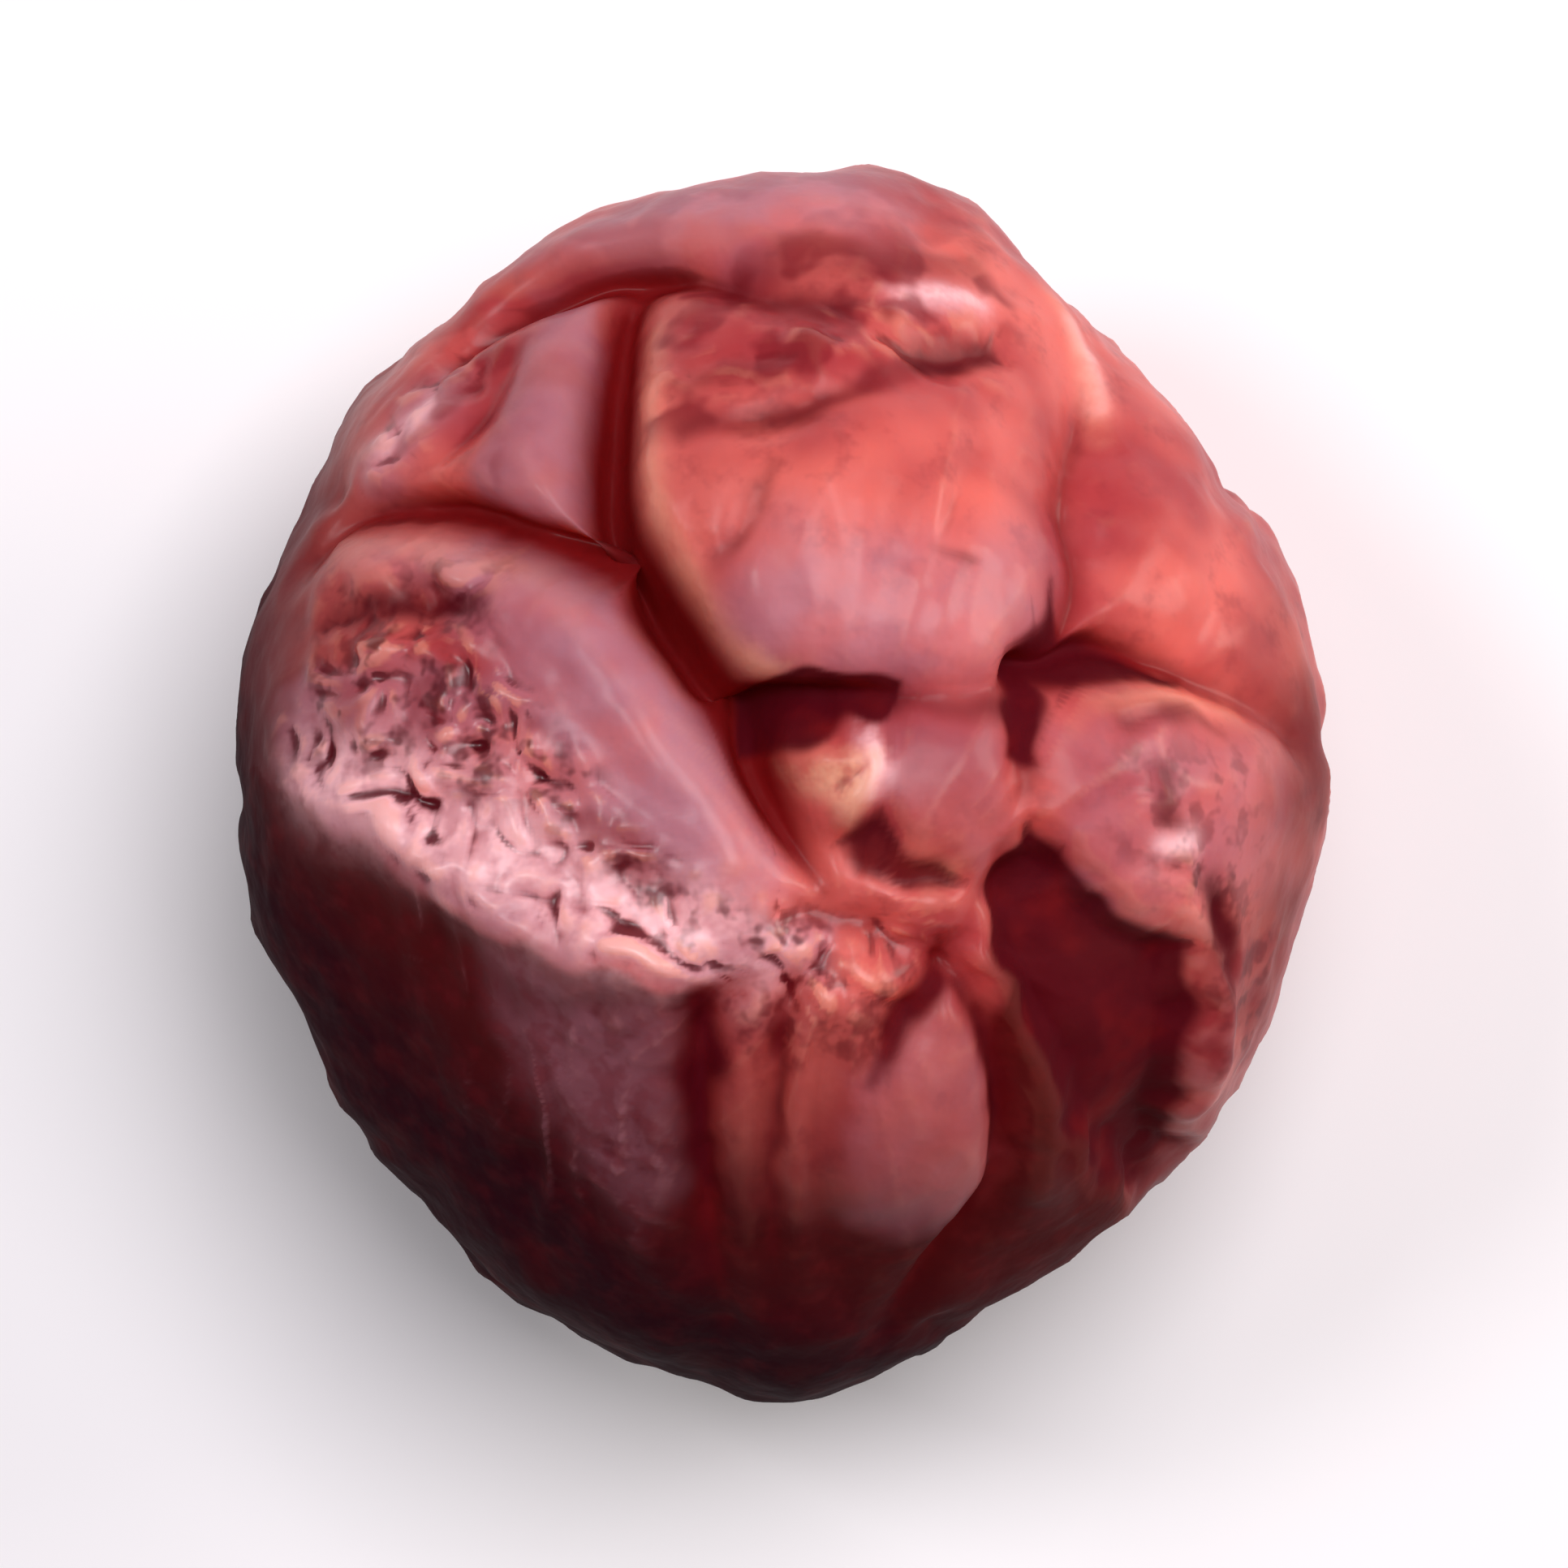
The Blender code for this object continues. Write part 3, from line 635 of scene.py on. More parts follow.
def shards(points, seed):
    """Small flat faces, each tilted its own way, as in crushed foil.

    Each cell of size one holds one seeded point with a tilt. The height is the mean over the near
    cells of tilt times offset, each weighted by e to the minus SHARD_EDGE times squared distance.
    """
    rng = np.random.default_rng(seed)
    spots, tilts = rng.random((NOISE_TABLE, 3)), rng.normal(size=(NOISE_TABLE, 3))
    order = rng.permutation(NOISE_TABLE)
    cell = np.floor(points).astype(int)
    total, crowd = np.zeros(len(points)), np.zeros(len(points))
    for step in np.ndindex(3, 3, 3):
        corner = cell + step - 1
        pick = looked_up(order, corner)
        offset = points - corner - spots[pick]
        weight = np.exp(-SHARD_EDGE * (offset**2).sum(1))
        total += weight * (offset * tilts[pick]).sum(1)
        crowd += weight
    return total / crowd


one_place = np.full((1, 3), 0.4)
print("heights at one place:", pillows(one_place, 1).round(2), shards(one_place, 1).round(2))

# %% Where the skin is crumpled
# Width, no lean, and x, y and strength
CRUMPLED = {
    "strip to the pucker": (0.5, 0, [(-1.15, -1.15, 0.5), (-0.3, -1.55, 0.9), (0.55, -1.55, 0.7)]),
    "lower left facet": (0.7, 0, [(-1.5, -2.4, 0.36), (-1.6, -3.8, 0.36)]),
    "dimple": (0.45, 0, [(-4.2, 1.5, 0.5), (-3.0, 1.7, 0.7)]),
    "top of the upper lobe": (0.7, 0, [(-0.7, 3.9, 0.35), (0.4, 4.2, 0.45), (1.6, 4.2, 0.4)]),
    "upper left edge": (0.5, 0, [(-3.9, 3.0, 0.5), (-3.6, 3.7, 0.6), (-3.0, 4.3, 0.4)]),
    "right lobe": (0.45, 0, [(3.4, -0.1, 0.3), (3.6, -0.8, 0.5), (4.0, -1.7, 0.4)]),
    "top of the lower lobe": (0.4, 0, [(0.1, -2.0, 0.5), (0.6, -1.9, 0.6), (1.2, -1.6, 0.4)]),
}
# Edge softness in mm, strength, and the ring's corners as x and y
CRUMPLED_AREAS = {
    "strip of the pad": (0.5, 1.0, [
        (-4.7, 0.3), (-4.4, 1.0), (-3.6, 1.3), (-2.8, 1.25), (-2.1, 0.55), (-1.4, -0.35), (-0.7, -1.1),
        (-0.8, -1.75), (-1.4, -1.62), (-2.15, -1.34), (-2.95, -1.02), (-3.62, -0.44), (-4.5, 0.0),
    ]),
}
# Where fine rills run down the flanks, in the same way
RILLED_AREAS = {
    "under the strip of the pad": (0.6, 1.0, [
        (-3.4, -0.95), (-2.2, -1.55), (-0.95, -2.05), (-0.9, -3.6), (-1.2, -4.6), (-2.2, -4.1),
        (-3.0, -2.9), (-3.6, -1.8),
    ]),
    "right flank": (0.5, 0.8, [
        (3.4, -1.1), (4.3, -0.9), (4.8, -1.8), (4.3, -3.3), (3.75, -4.0), (3.6, -2.6),
    ]),
}


def crumpled_share(points):
    """How crumpled the skin is: the paths and the areas together."""
    return np.clip(along(points, CRUMPLED) + areas(points, CRUMPLED_AREAS), 0, 1)


print("crumpled places:", len(CRUMPLED) + len(CRUMPLED_AREAS), " rilled:", len(RILLED_AREAS))

# %% [markdown]
# ## Heights of the wrinkles
# Each kind of wrinkle now gets a height and a size of its own, in millimetres. They are small, since
# the whole berry is only twelve millimetres long, and they grow stronger towards the underside,
# where the skin hangs looser. The pucker is the place on top where the folds meet.

# %% Sizes of the wrinkles
PUCKER, PUCKER_REACH, PUCKER_FADE = over([(0.63, -1.32)])[0], 0.35, 0.2
WAVE_HEIGHT, WAVE_SIZE = 0.055, 2.1
STREAK_HEIGHT, STREAKS_ROUND, STREAKS_DOWN = 0.024, 6.5, 1.7
PANEL_HEIGHT, PANEL_SIZE = 0.035, 1.9
# What is taken off the crests of streaks and rills, and of the net, so that they go in and out
CREST_SINK, NET_SINK = 0.3, 0.35
# Size, strength and seed of the noise that bends each kind of wrinkle, and the borders of areas
STREAK_WARP, PANEL_WARP, NET_WARP = (1.7, 0.35, 31), (1.6, 0.55, 121), (0.9, 0.30, 51)
CRUMPLE_WARP, RILL_WARP, BORDER_WARP = (0.6, 0.15, 65), (0.9, 0.16, 151), (0.50, 0.15, 141)
# Seeds of the wrinkles themselves
STREAK_SEED, PANEL_SEED, NET_SEED, RILL_SEED, GRAIN_SEED, GATHER_SEED = 41, 131, 61, 161, 111, 101
SHARD_SEEDS, WAVE_SEEDS = (71, 75), (81, 91)
SIDE_SHARE, SIDE_START, SIDE_SLOPE = 2.8, 0.35, 2.5
NET_HEIGHT, NET_SIZE = 0.015, 0.62
CRUMPLE_HEIGHT, CRUMPLE_SIZE = 0.12, 0.40
SMALL_SHARE, SMALL_SCALE = 0.35, 2.1
STRIP_WAY, STRIP_STRETCH = unit(np.array([0.80, -0.60, 0.0])), 0.35
GRAIN_HEIGHT, GRAIN_SIZE = 0.006, 0.24
GATHER_SHARE, GATHER_PITCH, GATHER_REACH = 0.035, 0.34, 0.50
RILL_HEIGHT, RILL_SIZE = 0.075, np.array([0.42, 1.80, 1.80])
print("pucker at, mm:", on_body(PUCKER[None])[0].round(2))


# %% Shapes of the wrinkles
def streak_height(points):
    """Crests along the great circles through the pucker, drawn closer together as they near it.

    The noise is read at (cos turn, sin turn, angle), with turn and angle measured at the pucker.
    """
    u = unit(points)
    side = unit(np.cross(PUCKER, [0.0, 1.0, 0.0]))
    ahead = np.cross(side, PUCKER)
    turn = np.arctan2(u @ ahead, u @ side)
    angle = np.arccos(np.clip(u @ PUCKER, -1, 1))
    place = np.stack([np.cos(turn), np.sin(turn), np.zeros_like(turn)], axis=1) * STREAKS_ROUND
    place[:, 2] = angle * STREAKS_DOWN
    fade = np.clip(angle / PUCKER_REACH, PUCKER_FADE, 1)
    return STREAK_HEIGHT * (ridges(warped(place, *STREAK_WARP), STREAK_SEED) - CREST_SINK) * fade


def rill_height(points):
    """Fine pleats that run down the flanks: crests of noise drawn out along y and z."""
    rills = ridges(warped(points, *RILL_WARP) / RILL_SIZE, RILL_SEED)
    return RILL_HEIGHT * areas(points, RILLED_AREAS) * (rills - CREST_SINK)


def net_height(points, low):
    """Small wrinkles: a wide net and a grain all over, and shards where skin is crumpled.

    The shards are drawn out along the pad's strip, by taking away a share of each point's reach
    along that way before the cells are laid.
    """
    wide = ridges(warped(points, *NET_WARP) / NET_SIZE, NET_SEED)
    drawn = warped(points, *CRUMPLE_WARP)
    drawn -= STRIP_STRETCH * (drawn @ STRIP_WAY)[:, None] * STRIP_WAY
    drawn /= CRUMPLE_SIZE
    large, small = SHARD_SEEDS
    fine = shards(drawn, large) + SMALL_SHARE * shards(drawn * SMALL_SCALE, small)
    grain = noise(points / GRAIN_SIZE, GRAIN_SEED)
    net = NET_HEIGHT * (1 + SIDE_SHARE * low) * (wide - NET_SINK)
    return net + CRUMPLE_HEIGHT * crumpled_share(points) * fine + GRAIN_HEIGHT * grain


def panel_height(points):
    """Broad, faintly rounded panels with soft creases between them, as in crushed leather."""
    return PANEL_HEIGHT * pillows(warped(points, *PANEL_WARP) / PANEL_SIZE, PANEL_SEED)


def wave_height(points):
    """Slow unevenness in two sizes: the second is half as large and half as high."""
    large, small = WAVE_SEEDS
    return WAVE_HEIGHT * (noise(points / WAVE_SIZE, large) + 0.5 * noise(2 * points / WAVE_SIZE, small))


print("wave height at the pucker, mm:", wave_height(on_body(PUCKER[None])).round(3))

# %% [markdown]
# ## The skin
# All heights are now summed on one mesh. A sphere made of rings would crowd its faces at two poles.
# Here a cube's sides are cut into squares and the cube is blown up into a ball, so its faces are
# near even everywhere, and its points are drawn towards the folds, where the skin bends most.

# %% The grid
SQUARES = 125
DETAIL_PULL = np.array([-0.10, 0.0, 0.26])
DRAW_REACH, DRAW_SHARE = 0.60, 0.55


def cube_grid(n):
    """Corners and outward squares of a cube of half side one, n squares along each edge.

    The corners are whole numbers until the end, so the sides' shared corners merge exactly.
    """
    a, b = (side.ravel() for side in np.meshgrid(*[np.arange(n + 1)] * 2, indexing="ij"))
    none, full = np.zeros_like(a), np.full_like(a, n)
    sides = [(full, a, b), (none, b, a), (b, full, a), (a, none, b), (a, b, full), (b, a, none)]
    corners = np.concatenate([np.column_stack(side) for side in sides])
    k = np.arange((n + 1) ** 2).reshape(n + 1, n + 1)
    square = np.stack([k[:-1, :-1], k[1:, :-1], k[1:, 1:], k[:-1, 1:]], axis=-1).reshape(-1, 4)
    squares = np.concatenate([square + side * (n + 1) ** 2 for side in range(6)])
    corners, place = np.unique(corners, axis=0, return_inverse=True)
    return corners * 2 / n - 1, place.reshape(-1)[squares]


def cube_to_directions(corners):
    """A cube blown up: the tangent of the eighth turns evens its squares, which gather upwards."""
    spread = unit(np.tan(corners * np.pi / 4))
    return unit(spread + DETAIL_PULL)


corners, squares = cube_grid(SQUARES)
print("grid corners:", len(corners), " triangles:", 2 * len(squares))


# %% The skin's points
PLEAT_LENGTH, PLEAT_SHIFT, PLEAT_START = 0.9, 7.3, 0.12
MARK_REACH, LEAN_SOFTNESS, SCAR_CALM = 0.28, 0.4, 0.4


def drawn_in(u):
    """Directions moved to the near folds and the scar, each pull weighted by a bell curve."""
    points = on_body(u)
    shift, crowd = np.zeros_like(points), np.zeros(len(points))
    for _, _, path in FOLDS:
        rows, place, gap, _, _, _ = meet(points, path)
        weight = np.exp(-((gap / DRAW_REACH) ** 2))
        shift[rows] += weight[:, None] * (place - points[rows])
        crowd[rows] += weight
    weight = bell(points, SCAR_CENTRE, DRAW_REACH)
    shift += weight[:, None] * (SCAR_CENTRE - points)
    crowd += weight
    return unit(points + DRAW_SHARE * shift / np.maximum(crowd, 1)[:, None])


def folded(body, normals):
    """Depth of the folds, their sideways lean, the gathers across them, and a fold mark.

    Depths that meet are summed as cubes, so a crossing is little deeper than its deepest fold.
    """
    depth, mark = np.zeros(len(body)), np.zeros(len(body))
    lean, gathers = np.zeros_like(body), np.zeros(len(body))
    for number, (width, slant, path) in enumerate(FOLDS):
        rows, _, gap, deep, length, heading = meet(body, path)
        part = fold_shape(gap, width, deep)
        depth[rows] += part**FOLD_BLEND
        sideways = np.cross(heading, normals[rows])
        lean[rows] += slant * (part**2 / (part + LEAN_SOFTNESS))[:, None] * sideways
        mark[rows] += (deep * np.exp(-gap / MARK_REACH)) ** FOLD_BLEND
        pleat = [length / GATHER_PITCH, gap / PLEAT_LENGTH, np.full(len(gap), PLEAT_SHIFT * number)]
        fade = np.exp(-((gap / GATHER_REACH) ** 2)) * np.clip(gap / PLEAT_START, 0, 1)
        gathers[rows] += GATHER_SHARE * deep * fade * noise(np.stack(pleat, axis=1), GATHER_SEED)
    return depth ** (1 / FOLD_BLEND), lean, gathers, mark ** (1 / FOLD_BLEND)


def skin_points(u):
    """The skin in millimetres, fitted to the solid's box, and each point's fold mark and places.

    One place is on the smooth body. The other wavers, so what is drawn there has uneven borders.
    """
    u = drawn_in(u)
    body, normals = on_body(u), outward(u)
    depth, lean, gathers, mark = folded(body, normals)
    wavering = warped(body, *BORDER_WARP)
    calm = np.clip(np.linalg.norm(body - SCAR_CENTRE, axis=1) / SCAR_PIT[0] - SCAR_CALM, 0, 1)
    height = swell_height(body) + areas(wavering, AREAS) + along(body, EDGES) + wave_height(body)
    low = np.clip(SIDE_START - SIDE_SLOPE * unit(body)[:, 2], 0, 1)
    height += calm * (1 + SIDE_SHARE * low) * (panel_height(body) + streak_height(body))
    height += calm * (net_height(body, low) + rill_height(body) + gathers)
    height += scar_height(body) - depth
    skin = body + normals * height[:, None] + lean
    skin[:, 2] = np.maximum(skin[:, 2], skin[:, 2].min() + REST_CUT)
    low, high = skin.min(0), skin.max(0)
    return (skin - low) / (high - low) * (CAD_HIGH - CAD_LOW) + CAD_LOW, mark, body, wavering


skin, fold_mark, body, wavering = skin_points(cube_to_directions(corners))
print("skin, mm:", (skin.max(0) - skin.min(0)).round(2), " deepest fold mark:", fold_mark.max().round(2))

# %% [markdown]
# ## Marks for the colour
# The colour follows the shape and the light: black-red painted shade in the folds, orange painted
# glow along thin crests, a pale painted sheen on the pad, and painted shade on the flank turned
# from the light. A baked picture could say so, but these are simple facts about each point, so they
# are stored on the mesh as attributes. Crests and troughs come from the mesh itself: a point that
# stands out from the average of its neighbours is on a crest. A few rounds of averaging find small
# wrinkles, and many rounds find whole lobes.

# %% Crests and troughs
CREST_ROUNDS, CREST_HEIGHT = 3, 0.010
LOBE_ROUNDS, LOBE_HEIGHT = 40, 0.10


def neighbour_mean(values, squares):
    """The mean of each point's values over the ends of its edges."""
    starts = squares.ravel()
    ends = np.roll(squares, -1, axis=1).ravel()
    both = np.concatenate([starts, ends]), np.concatenate([ends, starts])
    count = np.bincount(both[0], minlength=len(values))
    sums = [np.bincount(both[0], column[both[1]], len(values)) for column in values.T]
    return np.stack(sums, axis=1) / count[:, None]


def crest_mark(skin, normals, squares, rounds):
    """How far each point stands out from its smoothed self, in mm: positive on a crest."""
    smooth = skin
    for _ in range(rounds):
        smooth = neighbour_mean(smooth, squares)
    return ((skin - smooth) * normals).sum(1)


outwards = outward(unit(body))
crest = crest_mark(skin, outwards, squares, CREST_ROUNDS) / CREST_HEIGHT
lobe = crest_mark(skin, outwards, squares, LOBE_ROUNDS) / LOBE_HEIGHT
print("points on a crest:", int((crest > 1).sum()), " on a lobe:", int((lobe > 1).sum()))

# %% [markdown]
# ## Lines and patches of colour
# Some of the berry's colours change without a change of shape. Some are its own, as dark spots and
# mottles. Others are painted light and shade: painted shade along the grooves, under the lips and in
# the hollows, a painted sheen, painted glints, a painted lit facet and painted glow on lit lips. A
# painter would use a brush. Here each stroke is a path and each patch a ring, with a name, a
# softness and a strength, so any one of them can be moved or made weaker. The patches and the dark
# strokes are read at the wavering places, so their borders aren't as straight as what was drawn.

# %% Lines of colour
# Width, no lean, and x, y and strength
# Dark strokes: the skin's own dark spots and mottles, and painted shade along the grooves, creases and
# folds and under the ridge.
DARK_SKIN_AND_SHADE = {
    "dimple": (0.24, 0, [(-4.1, 1.5, 0.3), (-3.5, 1.66, 0.4), (-2.8, 1.62, 0.5)]),
    "top of the upper lobe": (0.3, 0, [(-0.7, 4.6, 0.4), (-0.2, 4.5, 0.6), (0.6, 4.4, 0.6)]),
    "mottle of the upper lobe": (0.22, 0, [(-0.95, 3.6, 0.4), (-0.4, 3.8, 0.5), (0.2, 3.9, 0.3)]),
    "wedge under it": (0.2, 0, [(-0.9, 3.24, 0.5), (0.0, 3.38, 0.6), (0.9, 3.66, 0.5), (2.0, 4.0, 0.3)]),
    "short crease in the upper lobe": (0.16, 0, [
        (-0.62, 1.86, 0.3), (-0.34, 2.3, 0.5), (-0.08, 2.84, 0.4),
    ]),
    "spots on the right lobe": (0.16, 0, [(3.46, 0.02, 0.6), (3.5, -0.36, 0.7)]),
    "lower spots on the right lobe": (0.28, 0, [
        (3.82, -0.98, 0.7), (4.02, -1.32, 0.9), (4.06, -1.9, 0.6),
    ]),
    "under the ridge of the right lobe": (0.16, 0, [(3.1, 0.52, 0.5), (3.6, 0.55, 0.6), (4.1, 0.46, 0.4)]),
    "spot on the upper lobe": (0.14, 0, [(1.5, 2.06, 0.4), (1.66, 2.04, 0.5)]),
    "first groove down": (0.22, 0, [(-0.68, -2.2, 0.9), (-0.76, -3.2, 0.9), (-0.68, -4.7, 0.5)]),
    "second groove down": (0.12, 0, [(0.05, -2.3, 0.5), (-0.1, -3.2, 0.6), (-0.1, -4.2, 0.4)]),
    "notch in the lower lobe": (0.16, 0, [(0.84, -2.8, 0.7), (1.14, -2.3, 1.0), (1.5, -1.86, 1.0)]),
    "groove beside the lower lobe": (0.15, 0, [
        (1.72, -1.95, 0.6), (2.04, -2.6, 0.7), (2.14, -3.3, 0.7), (2.0, -3.95, 0.6), (1.62, -4.45, 0.4),
    ]),
    "fold across the middle": (0.18, 0, [
        (0.95, 0.66, 0.7), (1.5, 0.66, 0.5), (2.1, 0.64, 0.6), (2.34, 0.4, 0.7), (2.26, -0.1, 0.4),
    ]),
}
# Painted sheen: a pale mauve reflection of the light painted into the colour.
PAINTED_SHEEN = {
    "rolled lip of the left pad": (0.3, 0, [
        (-3.9, 2.1, 0.5), (-2.6, 1.9, 0.9), (-1.6, 1.3, 1.1), (-0.85, 0.3, 1.2), (-0.1, -0.85, 1.0),
    ]),
    "upper left edge": (0.36, 0, [(-3.9, 3.0, 0.8), (-3.4, 3.7, 0.8)]),
    "right edge of the hollow": (0.12, 0, [(2.8, -0.95, 0.6), (3.05, -1.2, 0.6)]),
}
# Painted glints and highlights.
PAINTED_GLINTS = {
    "low strip of the pad": (0.48, 0, [
        (-4.2, 0.1, 0.7), (-3.4, -0.15, 1.0), (-2.6, -0.6, 1.1), (-1.8, -1.05, 1.1), (-1.0, -1.3, 1.0),
        (-0.2, -1.6, 0.6),
    ]),
    "glint beside the facet": (0.12, 0, [(0.82, 0.34, 0.8), (0.92, 0.1, 0.8), (0.84, -0.1, 0.4)]),
    "upper left edge": (0.2, 0, [(-3.9, 3.2, 0.5), (-3.5, 3.5, 0.6), (-3.2, 3.9, 0.4)]),
    "glint on the right lobe": (0.13, 0, [(3.42, -0.62, 0.8), (3.66, -0.56, 0.9)]),
    "glint on the upper lobe": (0.16, 0, [(1.12, 4.48, 0.6), (1.45, 4.52, 0.9), (1.85, 4.46, 0.6)]),
    "edge of the right strip": (0.12, 0, [(2.84, 4.5, 0.6), (2.98, 4.1, 0.8), (3.02, 3.6, 0.5)]),
}
# Painted glow and highlights along lit lips, edges and ridges.
PAINTED_LIT_LIPS = {
    "lip of the upper lobe": (0.13, 0, [
        (-1.2, 4.3, 0.4), (-1.2, 3.3, 0.7), (-1.12, 2.5, 0.9), (-0.8, 1.8, 0.9), (-0.42, 1.2, 0.9),
        (-0.1, 0.92, 0.6),
    ]),
    "edge of the pocket": (0.12, 0, [(1.3, -0.86, 0.5), (1.56, -0.88, 0.8)]),
    "ridge over the right lobe": (0.14, 0, [(2.95, 0.7, 0.2), (3.6, 0.76, 0.5), (4.3, 0.62, 0.3)]),
    "rim of the left pad": (0.14, 0, [(-4.2, 2.2, 0.2), (-3.2, 2.14, 0.3), (-2.3, 1.86, 0.3)]),
    "edge of the right strip": (0.14, 0, [(2.72, 4.8, 0.4), (2.96, 4.0, 0.8), (3.05, 3.3, 0.3)]),
}
print("lines:", sum(len(table) for table in (DARK_SKIN_AND_SHADE, PAINTED_SHEEN, PAINTED_GLINTS, PAINTED_LIT_LIPS)))

# %% Patches of dark skin, painted shade and painted sheen
# Two rings that patches share, as x and y
# The wedge is painted shade where the middle folds meet.
WEDGE = [
    (2.56, 1.90), (2.80, 1.42), (3.40, 1.26), (3.95, 0.98), (3.30, 0.90), (2.60, 0.80), (2.38, 0.20),
    (2.18, 0.20), (2.26, 0.95),
]
LEFT_PANEL = [(-1.72, 4.66), (-2.36, 4.7), (-2.6, 3.6), (-3.1, 2.7), (-2.4, 2.4), (-1.74, 2.15)]
# Edge softness in mm, strength, and the ring's corners as x and y
# Painted shade in the hollow, the pocket, the dimple, the pit, the wedge and under the upper lobe, and a
# deep red patch of the skin's own on top.
DARK_AND_SHADE_AREAS = {
    "corner of the middle folds": (0.24, 0.8, WEDGE),
    "hollow": (0.24, 1.2, AREAS["hollow"][2]),
    "pocket": (0.24, 0.8, AREAS["pocket"][2]),
    "dimple": (0.7, 0.4, AREAS["dimple"][2]),
    "pit": (0.3, 0.45, AREAS["pit"][2]),
    "shade of the upper lobe": (0.16, 0.9, [
        (-0.58, 0.72), (-0.1, 0.92), (0.5, 0.92), (1.12, 0.86), (0.95, 0.52), (0.5, 0.36), (0.0, 0.3),
        (-0.4, 0.3),
    ]),
    "slope of the hollow": (0.5, 0.5, [
        (2.1, -0.9), (2.6, -1.6), (3.0, -3.0), (3.4, -4.1), (2.9, -4.0), (2.5, -3.1), (2.25, -2.4),
        (1.95, -1.6),
    ]),
    "deep red patch of the top": (0.35, 0.45, [
        (-0.6, 4.75), (0.55, 4.72), (1.6, 4.62), (2.2, 4.4), (1.9, 5.05), (0.8, 5.15), (-0.4, 5.0),
    ]),
}
# Painted sheen on the faces that turn to the light.
PAINTED_SHEEN_AREAS = {
    "smooth side of the pad": (0.4, 0.8, [
        (-3.0, 2.15), (-2.0, 1.85), (-1.5, 1.2), (-0.9, 0.2), (-0.2, -0.9), (-0.7, -1.1), (-1.3, -0.5),
        (-1.9, 0.2), (-2.6, 1.0), (-3.0, 1.5),
    ]),
    "strip of the pad": (0.22, 0.7, [
        (-4.7, 0.4), (-4.4, 0.95), (-3.6, 1.2), (-2.6, 0.95), (-1.7, 0.3), (-0.9, -0.5), (0.0, -1.3),
        (0.6, -1.4), (0.5, -1.8), (-0.6, -2.0), (-1.35, -1.72), (-2.15, -1.44), (-2.95, -1.14),
        (-3.62, -0.56), (-4.5, -0.14),
    ]),
    "left panel": (0.3, 0.9, LEFT_PANEL),
    "low part of the upper lobe": (0.9, 0.75, [
        (-0.6, 1.4), (0.0, 2.4), (1.0, 2.1), (2.6, 2.3), (2.3, 0.9), (1.0, 0.8), (-0.2, 0.9),
    ]),
    "central lobe": (0.3, 0.35, [
        (0.95, 0.5), (2.1, 0.55), (2.1, -0.4), (1.9, -1.1), (1.6, -0.5), (0.95, -0.1),
    ]),
    "top lobe": (0.8, 1.0, [(-2.4, 5.0), (-0.6, 5.0), (1.2, 5.3), (0.6, 5.95), (-1.4, 5.75)]),
    "right lobe": (0.6, 0.45, [(2.5, 0.5), (4.6, 0.4), (4.7, -1.0), (3.3, -1.3), (2.7, -0.5)]),
    "lower lobe": (0.3, 0.35, [
        (1.5, -1.95), (1.98, -2.6), (2.06, -3.6), (1.6, -4.3), (0.7, -4.2), (0.62, -2.8),
    ]),
    "lower left facet": (0.7, 0.64, [
        (-2.6, -1.55), (-1.0, -2.1), (-0.98, -3.6), (-1.25, -4.1), (-1.7, -3.7), (-2.3, -2.7),
    ]),
}
print("patches:", len(DARK_AND_SHADE_AREAS), "dark and", len(PAINTED_SHEEN_AREAS), "pale")

# %% Patches of a painted lit facet, brown skin and painted shade, specked and mottled skin
# Edge softness in mm, strength, and the ring's corners as x and y
# A painted lit facet and the lip over it.
PAINTED_LIT_FACETS = {
    "facet over the pocket": (0.26, 0.8, [(0.02, 0.26), (0.88, 0.2), (0.66, -0.5)]),
    "lip over the facet": (0.24, 0.5, [(-0.6, 0.98), (-0.2, 1.2), (0.1, 1.0), (-0.2, 0.86)]),
}
# Brown skin, with painted shade on the flank under the strip, on the low rim and in the wedge.
BROWN_AND_SHADE_AREAS = {
    "corner of the middle folds": (0.2, 1.0, WEDGE),
    "ridge beside the lower lobe": (0.24, 1.0, [
        (2.05, -1.7), (2.4, -1.8), (2.75, -2.6), (3.2, -3.6), (3.4, -4.3), (2.6, -4.7), (2.2, -4.3),
        (2.2, -3.0), (2.05, -2.2),
    ]),
    "left panel": (0.4, 0.4, LEFT_PANEL),
    "central lobe": (0.4, 0.25, [(0.95, 0.5), (2.1, 0.55), (2.1, -0.4), (1.9, -1.1), (0.95, -0.1)]),
    "right edge": (0.8, 0.35, [(5.6, 2.8), (4.4, 1.6), (4.2, 0.4), (4.4, -0.6), (5.6, -0.6)]),
    "right rim": (0.9, 0.45, [(5.6, 2.2), (4.8, 0.8), (4.6, -0.6), (4.2, -2.4), (5.6, -2.4)]),
    "low right flank": (0.6, 0.3, [
        (3.9, -1.0), (4.5, -0.8), (5.2, -1.0), (4.6, -3.2), (3.6, -4.4), (3.7, -2.6),
    ]),
    "flank under the strip": (0.16, 1.0, [
        (-5.6, 0.2), (-4.6, -0.06), (-3.66, -0.6), (-2.98, -1.2), (-2.16, -1.5), (-1.36, -1.8),
        (-0.7, -2.1), (-0.6, -6.5), (-5.6, -6.5),
    ]),
    "lower lobe and grooves": (0.6, 0.45, [
        (-0.8, -2.0), (2.2, -2.1), (2.6, -4.2), (1.6, -6.4), (-0.9, -6.4),
    ]),
    "low rim": (1.5, 1.0, [
        (-0.9, -4.2), (0.6, -4.4), (1.6, -4.3), (3.0, -4.2), (3.0, -6.5), (-0.9, -6.5),
    ]),
}
